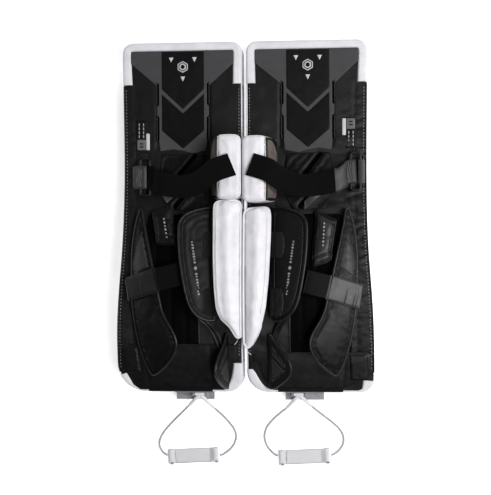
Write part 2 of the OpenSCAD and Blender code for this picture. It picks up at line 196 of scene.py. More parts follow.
def inside(points, path):
    p = np.asarray(points, float)[:, None]
    a = np.asarray(path, float)
    b = np.roll(a, -1, 0)
    crossed = (a[:, 1] > p[..., 1]) != (b[:, 1] > p[..., 1])
    at = a[:, 0] + (p[..., 1] - a[:, 1]) * (b[:, 0] - a[:, 0]) / (b[:, 1] - a[:, 1] + 1e-12)
    return (crossed & (p[..., 0] < at)).sum(1) % 2 == 1


def inset_path(edge, depth, slack=0.3):
    """A path inside a closed edge at a depth, without the parts that come too near the edge."""
    q = edge + inward(edge) * depth
    return q[dist(q, edge, True) > depth - slack]


def runs(mask):
    """The runs of places where a mask is true."""
    places = np.flatnonzero(mask)
    return np.split(places, np.flatnonzero(np.diff(places) > 1) + 1)


def kept_run(path, keep):
    """The run of a closed path's points that a mask keeps."""
    places = np.flatnonzero(keep)
    start = next((i for i in places if not keep[i - 1]), places[0])
    return path[((start + np.arange(len(path))) % len(path))[: len(places)]]


def without_gaps(path, gap=12, fewest=4):
    """A path's parts between its wide gaps."""
    far = np.linalg.norm(np.diff(path, axis=0), axis=1) > gap
    return [part for part in np.split(path, np.flatnonzero(far) + 1) if len(part) >= fewest]


def outline(side, grow=0.0):
    """The pad's edge in plan, from the middle of the toe end round by the inner edge."""
    ro, ri = ((64, 34), (30, 46))[side]
    ro, ri, top = ro + grow, ri + grow, 800 + grow
    return join(
        [(142, -grow)],
        arc((ri - grow, ri - grow), ri, 270, 180),
        arc((22 - grow, top - 22), 22, 180, 90),
        arc((250 + grow, top - 22), 22, 90, 0),
        bezier((272 + grow, top - 40), (270 + grow, 560), (266 + grow, 420), (275 + grow, 290)),
        bezier((275 + grow, 290), (281 + grow, 210), (285 + grow, 160), (285 + grow, ro + 20)),
        arc((285 + grow - ro, ro - grow), ro, 0, -90),
        [(142, -grow)],
    )


def hills(points, size, seed=0.0):
    """Smooth noise from about -1 to 1 at points in millimetres."""
    q = np.array(points, float) / size + seed
    return np.array([noise.fractal(Vector(v), 1.0, 2.0, 2) for v in q])


def folds(q, run, size, stretch, seed):
    """Wrinkle noise, long along a direction in degrees, with its short size in millimetres."""
    a = math.radians(run)
    u = q[:, 0] * math.cos(a) + q[:, 1] * math.sin(a)
    v = -q[:, 0] * math.sin(a) + q[:, 1] * math.cos(a)
    return hills(np.column_stack((u / stretch, v, np.zeros(len(q)))), size, seed)


def heading(degrees):
    """The unit vector across a strap that runs at an angle in plan."""
    a = math.radians(degrees)
    return (-math.sin(a), math.cos(a), 0)


# ---- Meshes


class Shape:
    """Vertices in a pad's frame with faces, each face with a material number."""

    def __init__(self):
        self.v, self.f, self.m, self.uv = [], [], [], []
        self.count = 0

    def add(self, verts, faces, material=0, uv=None):
        verts = np.array(verts, float).reshape(-1, 3)
        self.v.append(verts)
        self.f += [tuple(i + self.count for i in f) for f in faces]
        self.m += [material] * len(faces) if np.isscalar(material) else list(material)
        self.uv.append(verts[:, :2] / 1000 if uv is None else np.array(uv, float).reshape(-1, 2))
        self.count += len(verts)
        return self

    def grid(self, grid, material=0, around=False, uv=None):
        """A sheet of quads over an array of rows of points."""
        g = np.array(grid, float)
        return self.add(g.reshape(-1, 3), grid_faces(*g.shape[:2], around), material, uv)

    def tube(self, path, radius, material=0, sides=8, closed=False):
        """A round tube along a path."""
        p = np.array(path, float)
        t = unit(np.roll(p, -1, 0) - np.roll(p, 1, 0) if closed else np.gradient(p, axis=0))
        u = np.cross(t, (0.0, 0.0, 1.0))
        u[np.linalg.norm(u, axis=1) < 0.1] = (1, 0, 0)
        u /= np.linalg.norm(u, axis=1)[:, None]
        w = np.cross(u, t)
        r = np.broadcast_to(np.asarray(radius, float), (len(p),))[:, None, None]
        a = np.linspace(0, 2 * np.pi, sides, endpoint=False)
        cos, sin = np.cos(a)[None, :, None], np.sin(a)[None, :, None]
        ring = p[:, None] + r * (cos * u[:, None] + sin * w[:, None])
        rows = looped(ring) if closed else ring
        d = travelled(rows.mean(1))
        uv = np.stack(np.broadcast_arrays(d[:, None] / 1000, (a * r[0, 0, 0] / 1000)[None]), -1)
        self.grid(rows, material, True, uv)
        if not closed:
            n = self.count - len(rows) * sides
            self.f += [tuple(n + k for k in range(sides)), tuple(self.count - 1 - k for k in range(sides))]
            self.m += [material, material]
        return self


def grid_faces(rows, columns, around=False):
    """Quads over a grid of rows, joined round if its columns close."""
    faces = []
    for i in range(rows - 1):
        for j in range(columns if around else columns - 1):
            k = (j + 1) % columns
            a, b = i * columns, (i + 1) * columns
            faces.append((a + j, a + k, b + k, b + j))
    return faces


def make(name, side, shape, mats, body):
    """A Blender object from a shape. It replaces the CAD node of its name, if there is one."""
    node = f"{SIDES[side]}_{name}"
    mesh = bpy.data.meshes.new(name)
    faces = shape.f if side else [f[::-1] for f in shape.f]
    mesh.from_pydata(world(side, np.vstack(shape.v)).tolist(), [], faces)
    layer = mesh.uv_layers.new(name="uv")
    loops = np.empty(len(mesh.loops), dtype=np.int32)
    mesh.loops.foreach_get("vertex_index", loops)
    layer.data.foreach_set("uv", np.vstack(shape.uv)[loops].astype(np.float32).ravel())
    for m in mats:
        mesh.materials.append(materials[m])
    mesh.polygons.foreach_set("material_index", np.array(shape.m, dtype=np.int32))
    mesh.polygons.foreach_set("use_smooth", np.full(len(mesh.polygons), True))
    mesh.update()
    replaced = node in frame["nodes"]
    obj = bpy.data.objects.new(f"{node}_skin" if replaced else node, mesh)
    bpy.context.scene.collection.objects.link(obj)
    if body:
        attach(obj, f"{SIDES[side]}_{body}_body")
    if replaced:
        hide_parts(node)
    return obj


# ---- Camera

camera = bpy.data.objects.new("camera", bpy.data.cameras.new("camera"))
bpy.context.scene.collection.objects.link(camera)
camera.location = (0.2322, -0.0541, 2.7439)
camera.rotation_euler = Euler([math.radians(a) for a in (-0.15, 4.928, -0.284)])
camera.data.sensor_fit = "HORIZONTAL"
camera.data.sensor_width = 36
camera.data.lens = 86.18
camera.data.clip_end = 20
bpy.context.scene.camera = camera


# ---- Materials

# The scale of a wave texture whose ribs are a metre apart
WAVE_SCALE = 0.314159

materials = {}


class Nodes:
    """A short way to write a material's node tree."""

    def __init__(self, name):
        self.mat = bpy.data.materials.new(name)
        self.mat.use_nodes = True
        self.tree = self.mat.node_tree
        self.shader = self.tree.nodes["Principled BSDF"]
        self.height = None
        materials[name] = self.mat

    def node(self, kind, inputs=(), **settings):
        n = self.tree.nodes.new("ShaderNode" + kind)
        for k, v in settings.items():
            setattr(n, k, v)
        for k, v in dict(inputs).items():
            self.set(n.inputs[k], v)
        return n

    def set(self, socket, value):
        if isinstance(value, bpy.types.NodeSocket):
            self.tree.links.new(value, socket)
        else:
            socket.default_value = value

    def where(self, coordinates="Object"):
        return self.node("TexCoord").outputs[coordinates]

    def noise(self, size, detail=3.0, rough=0.55, vector=None):
        """Noise with features of a size in metres."""
        inputs = {"Vector": vector or self.where(), "Scale": 1 / size, "Detail": detail, "Roughness": rough}
        return self.node("TexNoise", inputs).outputs[0]

    def wave(self, size, axis="X", vector=None):
        """Ribs at a spacing in metres."""
        inputs = {"Vector": vector or self.where(), "Scale": WAVE_SCALE / size}
        return self.node("TexWave", inputs, bands_direction=axis).outputs[1]

    def cells(self, size):
        return self.node("TexVoronoi", {"Vector": self.where(), "Scale": 1 / size}, feature="F1").outputs[0]

    def span(self, value, low, high, to_low=0.0, to_high=1.0):
        inputs = {"Value": value, "From Min": low, "From Max": high, "To Min": to_low, "To Max": to_high}
        return self.node("MapRange", inputs).outputs[0]

    def blot(self, size, detail, to_low=0.0, to_high=1.0):
        """Soft blotches of a size, between two values."""
        return self.span(self.noise(size, detail), 0.3, 0.7, to_low, to_high)

    def mix(self, factor, a, b):
        n = self.node("Mix", {0: factor, 6: (*a, 1), 7: (*b, 1)}, data_type="RGBA")
        return n.outputs[2]

    def bump(self, height, depth):
        """A height from 0 to 1 over a depth in metres, on top of the bumps before it."""
        n = self.node("Bump", {"Height": height, "Distance": depth, "Strength": 1.0})
        if self.height is not None:
            self.set(n.inputs["Normal"], self.height)
        self.height = n.outputs[0]
        self.set(self.shader.inputs["Normal"], self.height)

    def look(self, colour, roughness, specular, sheen=0.0):
        s = self.shader.inputs
        self.set(s["Base Color"], colour)
        self.set(s["Roughness"], roughness)
        s["Specular IOR Level"].default_value = specular
        s["Sheen Weight"].default_value = sheen


def shaded(colour, part):
    return tuple(c * part for c in colour)


def leather(name, colour, rough, specular, grain, depth, wrinkle):
    """Smooth synthetic leather: a pebbled grain, soft wrinkles, and a slight change of gloss."""
    n = Nodes(name)
    n.bump(n.noise(0.018, 3, 0.6), wrinkle)
    n.bump(n.cells(grain), depth * 0.4)
    tone = n.mix(n.blot(0.03, 4), shaded(colour, 0.86), colour)
    n.look(tone, n.blot(0.012, 4, rough - 0.06, rough + 0.08), specular)


def nylon(name, colour, rough, specular, thread, depth, sheen):
    """Woven nylon: two crossing sets of threads, with faint slubs."""
    n = Nodes(name)
    inputs = {0: n.wave(thread * 2, "X"), 2: n.wave(thread, "X"), 3: n.wave(thread, "Y")}
    weave = n.node("Mix", inputs, data_type="FLOAT").outputs[0]
    n.bump(n.noise(0.012, 3, 0.6), 0.0004)
    n.bump(weave, depth * 0.5)
    tone = n.mix(n.blot(0.02, 4), shaded(colour, 0.7), shaded(colour, 1.25))
    n.look(tone, n.blot(0.006, 3, rough - 0.06, rough + 0.06), specular, sheen)


def webbing(name, colour, rough, specular, rib, depth, sheen):
    """Ribs across a strap, with finer threads along it. A strap's UV runs along it in metres."""
    n = Nodes(name)
    uv = n.where("UV")
    n.bump(n.noise(0.01, 2, 0.5, uv), 0.0002)
    n.bump(n.wave(rib, "X", uv), depth)
    n.bump(n.wave(rib * 0.6, "Y", uv), depth * 0.6)
    # The ribs' hollows are darker than their crests: painted shade in the grooves
    n.look(n.mix(n.wave(rib, "X", uv), shaded(colour, 0.7), colour), rough, specular, sheen)


# Name, colour, roughness, specular level, size and depth of the grain, depth of the wrinkles
for look in (
    ("white_leather", (0.73, 0.725, 0.765), 0.42, 0.3, 0.001, 0.00006, 0.00012),
    ("black_leather", (0.0048, 0.00448, 0.00512), 0.42, 0.16, 0.0009, 0.00012, 0.0003),
    ("soft_black", (0.00558, 0.00558, 0.00612), 0.44, 0.126, 0.0008, 0.0001, 0.0005),
    ("grey_panel", (0.05612, 0.05551, 0.05856), 0.46, 0.146, 0.0007, 0.00006, 0.0002),
    ("chevron", (0.0042, 0.0042, 0.0048), 0.44, 0.1, 0.0008, 0.0001, 0.0003),
    ("piping", (0.008, 0.008, 0.0086), 0.32, 0.3, 0.0007, 0.00005, 0.0001),
    ("channel_black", (0.0012, 0.0012, 0.0013), 0.6, 0.03, 0.0008, 0.00008, 0.0003),
    ("boot_black", (0.00282, 0.00282, 0.00316), 0.42, 0.226, 0.0008, 0.00008, 0.0003),
    ("light_stretch", (0.045, 0.045, 0.047), 0.4, 0.2, 0.0008, 0.0001, 0.0003),
    # A near-black matte sheet: painted shade inside slots and in the open ends of rolls
    ("painted_hole_shade", (0.0008, 0.0008, 0.0008), 0.9, 0.01, 0.0008, 0.0001, 0.0003),
    ("edge_grey", (0.02, 0.02, 0.021), 0.4, 0.25, 0.0008, 0.0001, 0.0001),
    ("edge_black", (0.0018, 0.0018, 0.002), 0.5, 0.1, 0.0008, 0.0001, 0.0003),
    ("wing_black", (0.00306, 0.00306, 0.0034), 0.42, 0.163, 0.0008, 0.00008, 0.0004),
    ("wing_grey", (0.024, 0.024, 0.0255), 0.42, 0.24, 0.0008, 0.00008, 0.0003),
    ("ankle_grey", (0.0144, 0.0144, 0.01536), 0.42, 0.32, 0.0008, 0.00008, 0.0003),
    ("tab_grey", (0.036, 0.036, 0.038), 0.42, 0.2, 0.0008, 0.0001, 0.0004),
    ("tab_light", (0.1, 0.1, 0.105), 0.42, 0.2, 0.0008, 0.0001, 0.0004),
    ("tab_black", (0.01, 0.0095, 0.0105), 0.42, 0.26, 0.0008, 0.0001, 0.0003),
    ("tail_grey", (0.009, 0.009, 0.0095), 0.45, 0.2, 0.0008, 0.0001, 0.0004),
    # A lighter copy of the tab black: a painted highlight for the right pad's calf strap tab
    ("painted_lit_strap", (0.05, 0.05, 0.053), 0.42, 0.3, 0.0008, 0.0001, 0.0004),
    ("label_grey", (0.12, 0.12, 0.125), 0.5, 0.2, 0.0008, 0.0001, 0.0001),
    ("label_black", (0.004, 0.004, 0.0045), 0.5, 0.1, 0.0008, 0.0001, 0.0001),
    ("print_white", (0.55, 0.55, 0.56), 0.5, 0.2, 0.002, 0.00001, 0.00002),
    ("print_grey", (0.24, 0.24, 0.245), 0.45, 0.2, 0.0008, 0.0001, 0.0001),
    ("print_soft", (0.3, 0.3, 0.305), 0.5, 0.2, 0.002, 0.00001, 0.00002),
    ("stitching", (0.442, 0.442, 0.455), 0.6, 0.13, 0.0006, 0.0001, 0.00001),
    ("pale_thread", (0.567, 0.567, 0.6075), 0.6, 0.135, 0.0006, 0.0001, 0.00001),
    ("black_thread", (0.0015, 0.0015, 0.0015), 0.6, 0.05, 0.0006, 0.0001, 0.00001),
    ("grey_plastic", (0.0045, 0.0045, 0.0048), 0.36, 0.25, 0.0006, 0.00003, 0.00003),
    ("clear_plastic", (0.2603, 0.2603, 0.28085), 0.28, 0.548, 0.002, 0.00002, 0.00005),
    ("white_plastic", (0.76, 0.76, 0.79), 0.33, 0.4, 0.002, 0.00002, 0.00005),
    ("cord", (0.4, 0.4, 0.415), 0.5, 0.3, 0.001, 0.0002, 0.00005),
    ("foam", (0.6, 0.6, 0.57), 0.9, 0.05, 0.0015, 0.0002, 0.0003),
    ("floor", (0.97, 0.97, 0.975), 0.9, 0.05, 0.01, 0.00001, 0.00001),
):
    leather(*look)
# The same with the spacing and depth of the threads or ribs, and the sheen
for look in (
    ("black_nylon", (0.0022, 0.0021, 0.0024), 0.4, 0.22, 0.0011, 0.00022, 0.01),
    ("grey_stretch", (0.003, 0.003, 0.0032), 0.42, 0.13, 0.0008, 0.00012, 0.01),
    ("taupe_nash", (0.1386, 0.1122, 0.10164), 0.85, 0.066, 0.0007, 0.0001, 0.05),
):
    nylon(*look)
for look in (
    ("black_elastic", (0.00205, 0.00205, 0.00205), 0.6, 0.066, 0.0016, 0.0003, 0.01),
    ("black_webbing", (0.006, 0.006, 0.0068), 0.45, 0.2, 0.0016, 0.0003, 0.01),
    ("grey_webbing", (0.04, 0.04, 0.042), 0.5, 0.2, 0.002, 0.0004, 0.1),
    ("white_webbing", (0.8, 0.8, 0.83), 0.6, 0.2, 0.0012, 0.0002, 0.1),
):
    webbing(*look)
glow = materials["floor"].node_tree.nodes["Principled BSDF"].inputs
glow["Emission Color"].default_value = (1, 1, 1, 1)
glow["Emission Strength"].default_value = 0.6


# ---- Floor and light

floor_mesh = bpy.data.meshes.new("floor")
floor_mesh.from_pydata([(-6, -6, 0), (6, -6, 0), (6, 6, 0), (-6, 6, 0)], [], [(0, 1, 2, 3)])
floor_mesh.materials.append(materials["floor"])
floor = bpy.data.objects.new("floor", floor_mesh)
floor.location.z = -0.0005
bpy.context.scene.collection.objects.link(floor)

studio = bpy.data.worlds.new("studio")
bpy.context.scene.world = studio
studio.use_nodes = True
studio.node_tree.nodes["Background"].inputs[0].default_value = (0.93, 0.95, 1.0, 1)
studio.node_tree.nodes["Background"].inputs[1].default_value = 0.03
bpy.context.scene.view_settings.view_transform = "Standard"

WARM, COOL = (1.0, 0.99, 0.98), (0.97, 0.98, 1.0)
# Name, place, what it points at, size, power and colour
for name, place, aim, size, power, colour in (
    ("key", (1.5, 0.2, 2.5), (0, 0, 0), (0.8, 0.8), 36, WARM),
    ("side", (2.2, -0.3, 2.2), (0, 0, 0), (0.8, 0.8), 34, WARM),
    ("front", (0.9, -0.9, 2.6), (0, 0, 0), (0.8, 0.8), 30, WARM),
    ("fill", (-2.3, 0.3, 1.5), (0, 0, 0), (1.2, 1.2), 14, COOL),
    ("back", (0.0, 2.4, 1.3), (0, 0.1, 0), (1.8, 0.7), 13, (1, 1, 1)),
):
    data = bpy.data.lights.new(name, "AREA")
    data.shape = "RECTANGLE"
    data.size, data.size_y = size
    data.energy = power
    data.color = colour
    light = bpy.data.objects.new(name, data)
    light.location = place
    light.rotation_euler = (Vector(aim) - Vector(place)).to_track_quat("-Z", "Y").to_euler()
    bpy.context.scene.collection.objects.link(light)


# ---- Toe cords

CORD_DIAMETER = 5
# The pin that the toe tie turns on, and each cord's route from its sleeve's end, from the pin
HUB = ((100, -9, 0), (115, -9, 0))
CORD_OUT = (
    [(27, -28, 24), (32, -33, 21.2), (39, -40, 17), (48, -49, 11.6), (57, -58, 7), (66, -67, 4),
     (75, -76, 2.8), (84, -86, 2.6), (92, -96, 2.6), (98, -106, 2.6), (102, -117, 2.6),
     (102, -128, 2.8), (97, -138, 3.6), (91, -145, 5.2), (83, -149, 7)],
    [(27, -28, 24), (32, -33, 21.2), (39, -39, 17), (48, -47, 11.6), (58, -55, 7), (68, -63, 4),
     (78, -71, 2.8), (88, -80, 2.6), (96, -90, 2.6), (101, -101, 2.6), (102, -112, 2.6),
     (99, -123, 2.8), (92, -133, 3.6), (84, -140, 5.2), (72.5, -146, 7)],
)
CORD_IN = (
    [(-30, -35, 20), (-36, -41, 17), (-43, -48, 13), (-51, -56, 8.8), (-59, -65, 5.4),
     (-66, -74, 3.4), (-73, -83, 2.7), (-78, -93, 2.6), (-80, -104, 2.6), (-78, -115, 2.6),
     (-73, -125, 2.7), (-66, -134, 3.2), (-57, -141, 4.4), (-49, -146, 5.8), (-41, -149, 7)],
    [(-30, -35, 20), (-37, -40, 17), (-45, -47, 13), (-54, -55, 8.8), (-63, -64, 5.4),
     (-71, -73, 3.4), (-78, -83, 2.7), (-82, -94, 2.6), (-83, -105, 2.6), (-81, -116, 2.6),
     (-77, -126, 2.7), (-71, -134, 3.2), (-64, -141, 4.4), (-59, -145, 5.8), (-52, -148, 7)],
)


def toe_cord(side, name, route):
    """One toe cord, as a curve with a round section."""
    points = world(side, np.array(route, float) + HUB[side])
    fine = smooth(along(points, count=90), 6)
    curve = bpy.data.curves.new(name, "CURVE")
    curve.dimensions = "3D"
    curve.bevel_depth = CORD_DIAMETER / 2000
    curve.bevel_resolution = 3
    curve.use_fill_caps = True
    spline = curve.splines.new("POLY")
    spline.points.add(len(fine) - 1)
    for q, v in zip(spline.points, fine):
        q.co = (*v, 1)
    curve.materials.append(materials["cord"])
    obj = bpy.data.objects.new(f"{SIDES[side]}_{name}", curve)
    bpy.context.scene.collection.objects.link(obj)
    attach(obj, f"{SIDES[side]}_toe_tie_body")
    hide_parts(f"{SIDES[side]}_toe_cords")


for side in (0, 1):
    toe_cord(side, "toe_cord_outer", CORD_OUT[side])
    toe_cord(side, "toe_cord_inner", CORD_IN[side])


# ---- Surfaces over a closed edge in plan


def ramp(x, length):
    """A straight rise from 0 to 1 over a length."""
    return np.clip(x / length, 0, 1)


def fill(edge, step, rings):
    """Points over the inside of an edge, the edge's own first, and triangles between them."""
    points = [edge]
    for r in rings:
        q = edge + inward(edge) * r
        q = q[inside(q, edge)]
        points.append(q[dist(q, edge, True) > 0.93 * r])
    low, high = edge.min(0), edge.max(0)
    rows = enumerate(np.arange(low[1] + step / 2, high[1], step * 0.87))
    columns = np.arange(low[0], high[0], step)
    grid = np.array([(x + (i % 2) * step / 2, y) for i, y in rows for x in columns]).reshape(-1, 2)
    grid = grid[inside(grid, edge)]
    reach = (rings[-1] if rings else 0) + step * 0.55
    q = np.vstack((*points, grid[dist(grid, edge, True) > reach]))
    out = delaunay_2d_cdt([Vector(v) for v in q], [], [list(range(len(edge)))], 1, 1e-7)
    tris = [tuple(out[3][i][0] for i in f) for f in out[2]]
    return q, [t if np.cross(q[t[1]] - q[t[0]], q[t[2]] - q[t[0]]) > 0 else t[::-1] for t in tris]


CLOTH_FRAMES, CLOTH_STIFFNESS = 14, 12
# How far the cloth moved each point of a piece, for pieces that come twice
swollen = {}


class Padded:
    """A padded piece over a closed edge in plan: walls, a crowned top with seams, and an underside."""

    def __init__(self, edge, low, high, roll=4.0, crown=2.0, belly=25.0, bulge=0.0, step=5.0, rows=1,
                 seams=(), wrinkle=None, place=None, spacing=None, under=0.2):
        self.edge = along(counterclockwise(edge), spacing or step * 0.8, closed=True)
        self.high, self.roll, self.crown, self.belly = high, roll, crown, belly
        self.seams = [(np.array(p, float), depth, width) for p, depth, width in seams]
        self.wrinkle, self.place, self.risen = wrinkle, place or (lambda p: p), None
        rings = [roll * part for part in (0.12, 0.35, 0.7, 1.1) if roll * part > 0.25]
        self.q, tops = fill(self.edge, step, rings)
        e, n = self.edge, len(self.edge)
        top = self.plain(self.q)
        z0, z1 = low(e) + under, top[:n, 2]
        walls = []
        for s in np.arange(rows) / rows:
            out = e - inward(e) * bulge * math.sin(math.pi * s)
            walls.append(np.column_stack((out, z0 + (z1 - z0) * s)))
        q, bottoms = fill(e, step * 1.8, [under * 1.2])
        ease = 1 - ramp(dist(q, e, True), under * 1.2)
        bottom = np.column_stack((q, low(q) + under * ease**2))
        start, first = rows * n, rows * n + len(self.q)
        self.v = np.vstack((*walls, top, bottom[n:]))
        self.f = grid_faces(rows + 1, n, True)
        self.f += [tuple(start + i for i in t) for t in tops]
        self.f += [tuple(i if i < n else first + i - n for i in t[::-1]) for t in bottoms]
        self.n, self.tops = n, slice(start, first)
        self.hold = np.r_[0:start, first : len(self.v)]

    def plain(self, q):
        """Points in plan put on the top, before the piece is turned to its place."""
        q = np.asarray(q, float)[:, :2]
        d = dist(q, self.edge, True)
        round_off = self.roll**2 - (self.roll - np.minimum(d, self.roll)) ** 2
        z = self.high(q) - self.roll + np.sqrt(np.maximum(round_off, 0))
        z += self.crown * (1 - np.exp(-((d / self.belly) ** 2)))
        for path, depth, width in self.seams:
            z -= depth * np.exp(-((dist(q, path) / width) ** 2))
        if self.wrinkle:
            z += self.wrinkle(q, d)
        if self.risen is not None:
            for k in range(0, len(q), 400):
                part = slice(k, k + 400)
                near = np.exp(-((q[part, None] - self.q[None]) ** 2).sum(-1) / 14) + 1e-12
                z[part] += near @ self.risen / near.sum(1)
        return np.column_stack((q, z))

    def top(self, q, lift=0.0):
        return self.place(self.plain(q) + (0, 0, lift))

    def shape(self, material=0):
        return Shape().add(self.place(self.v), self.f, material, self.v[:, :2] / 1000)

    def middles(self):
        """The middles of the faces."""
        return np.array([self.v[list(f)].mean(0) for f in self.f])

    def swell(self, key, pins, pressure, cap, slack):
        """Cloth with air pressure under the top, held along its seams. A key is simulated once."""
        if key not in swollen:
            mesh = bpy.data.meshes.new("cloth")
            mesh.from_pydata((self.v / 1000).tolist(), [], self.f)
            obj = bpy.data.objects.new("cloth", mesh)
            bpy.context.scene.collection.objects.link(obj)
            held = np.zeros(len(self.v))
            held[self.hold] = 1
            held[self.tops][: self.n] = 1
            for path, width in pins:
                held[self.tops][dist(self.v[self.tops], path) < width] = 1
            group = obj.vertex_groups.new(name="held")
            group.add(np.flatnonzero(held).tolist(), 1.0, "REPLACE")
            cloth = obj.modifiers.new("cloth", "CLOTH")
            s = cloth.settings
            s.quality = 6
            s.mass = 0.3
            s.tension_stiffness = s.compression_stiffness = CLOTH_STIFFNESS
            s.shear_stiffness = CLOTH_STIFFNESS * 0.4
            s.bending_stiffness = 0.4
            s.use_pressure = True
            s.uniform_pressure_force = pressure
            s.vertex_group_mass = "held"
            s.shrink_min = -slack
            s.effector_weights.gravity = 0
            cloth.collision_settings.use_collision = False
            cloth.point_cache.frame_start, cloth.point_cache.frame_end = 1, CLOTH_FRAMES
            for f in range(1, CLOTH_FRAMES + 1):
                bpy.context.scene.frame_set(f)
            deps = bpy.context.evaluated_depsgraph_get()
            move = np.array([v.co for v in obj.evaluated_get(deps).data.vertices]) * 1000 - self.v
            bpy.data.objects.remove(obj)
            bpy.context.scene.frame_set(1)
            size = np.linalg.norm(move, axis=1)
            swollen[key] = move * np.where(size > cap, cap / np.maximum(size, 1e-9), 1)[:, None]
            print(f"cloth {key}: {len(self.v)} points, moved {size.max():.1f} mm at most")
        self.v = self.v + swollen[key]
        self.risen = swollen[key][self.tops, 2]


def plate(shape, edge, low, high, material, roll, crown, step, wrinkle=None):
    """A small thin plate, added to a shape."""
    p = Padded(edge, low, high, roll, crown, step=step, under=0.1, wrinkle=wrinkle)
    shape.add(p.v, p.f, material)
    return p


def raised(pad, shape, edge, material, height, round_off, step, base=-0.6):
    """A thin patch that lies on a padded piece's top."""
    q = along(counterclockwise(edge), step * 0.6, closed=True)
    p, tris = fill(q, step, [round_off])
    flat = pad.plain(p)
    flat[:, 2] += base + (height - base) * np.sqrt(ramp(dist(p, q, True), round_off))
    shape.add(pad.place(flat), tris, material, p / 1000)


def stitches(shape, path, put, lift, material, length=3.0, gap=2.2, wide=0.7):
    """A row of stitches along a path in plan, on a surface that put() finds."""
    path = np.array(path, float)[:, :2]
    d = travelled(path)
    starts = np.arange(gap, d[-1] - length, length + gap)
    if not len(starts):
        return
    t = (starts[:, None] + np.linspace(0, length, 3)).ravel()
    p = put(np.column_stack([np.interp(t, d, c) for c in path.T])).reshape(-1, 3, 3)
    p[..., 2] += lift
    run = unit(p[:, 2] - p[:, 0])
    across = unit(np.cross(run, (0, 0, 1.0)))
    up = np.cross(across, run)
    verts, faces = [], []
    for k, (a, b, c) in enumerate(p):
        w, h = across[k] * wide / 2, up[k] * wide * 0.35
        m = 6 * k
        verts += [a, b - w, b + h, b + w, b - h, c]
        for i in range(4):
            j = (i + 1) % 4
            faces += [(m, m + 1 + i, m + 1 + j), (m + 5, m + 1 + j, m + 1 + i)]
    shape.add(verts, faces, material)


def spline(d, p, t):
    """Smooth values between knots: a cubic with the slopes of the neighbours."""
    m = np.gradient(p, d, axis=0)
    i = np.clip(np.searchsorted(d, t, side="right") - 1, 0, len(d) - 2)
    h = (d[i + 1] - d[i])[:, None]
    s = ((t - d[i]) / h[:, 0])[:, None]
    return ((2 * s**3 - 3 * s**2 + 1) * p[i] + (s**3 - 2 * s**2 + s) * h * m[i]
            + (-2 * s**3 + 3 * s**2) * p[i + 1] + (s**3 - s**2) * h * m[i + 1])


def ribbon(shape, points, across, width, thick, columns, step, wave=0.0, seed=0.0):
    """A flat strap through points at its middle, with its width along across."""
    p = np.array(points, float)
    a = np.array(np.broadcast_to(np.array(across, float), p.shape))
    w = np.broadcast_to(np.asarray(width, float), (len(p),))
    d = travelled(p)
    n = max(3, int(d[-1] / step) + 1)
    t = np.linspace(0, d[-1], n)
    p, a, w = spline(d, p, t), unit(spline(d, a, t)), np.interp(t, d, w)
    up = unit(np.cross(unit(np.gradient(p, axis=0)), a))
    s = np.linspace(-1, 1, columns + 1)
    body = thick / 2 * np.sqrt(np.clip(1 - np.abs(s) ** 12, 0, 1)) + 0.05
    body[[0, -1]] = thick * 0.22
    ring_s = np.r_[s, s[::-1]]
    ring_h = np.r_[body, -body[::-1]]
    rows = p[:, None] + a[:, None] * (ring_s * w[:, None] / 2)[..., None] + up[:, None] * ring_h[None, :, None]
    bend = hills(rows.reshape(-1, 3) * (1, 0.35, 1), 22, seed).reshape(rows.shape[:2])
    rows += up[:, None] * (bend * wave)[..., None]
    uv = np.stack(np.broadcast_arrays(t[:, None] / 1000, (ring_s * w.mean() / 2000)[None]), -1)
    first = shape.count
    shape.grid(rows, 0, True, uv)
    k = rows.shape[1]
    for base, turn in ((first, 1), (first + (n - 1) * k, -1)):
        for j in range(columns):
            shape.f.append((base + j, base + j + 1, base + k - 2 - j, base + k - 1 - j)[::turn])
            shape.m.append(0)


def wiggle(put, x, y, z, size, pitch, count, bend, phase):
    """A wavy line that runs along y, for a row of thread."""
    at = [(x + size * math.sin(j * bend + phase), y + j * pitch) for j in range(count)]
    return put(np.array(at)) + (0, 0, z)


def turned(pivot, lift):
    """The move that lifts a wing by an angle about a line along y through a pivot in x and z."""
    c, s = math.cos(math.radians(lift)), math.sin(math.radians(lift))

    def move(p):
        x, z = p[:, 0] - pivot[0], p[:, 2] - pivot[1]
        return np.column_stack((pivot[0] + x * c - z * s, p[:, 1], pivot[1] + x * s + z * c))

    return move


def unturned(points, pivot, lift, low):
    """The flat outline of a turned plate whose plan is known, where its back is low over the pad's back."""
    p = np.array(points, float)
    c, s = math.cos(math.radians(lift)), math.sin(math.radians(lift))
    z = back_z(p[:, 1]) + low - pivot[1]
    return np.column_stack((pivot[0] + (p[:, 0] - pivot[0] + z * s) / c, p[:, 1]))


# ---- The pad body

# The middle of the thigh panel and the knee sling
MID = (134, 139)


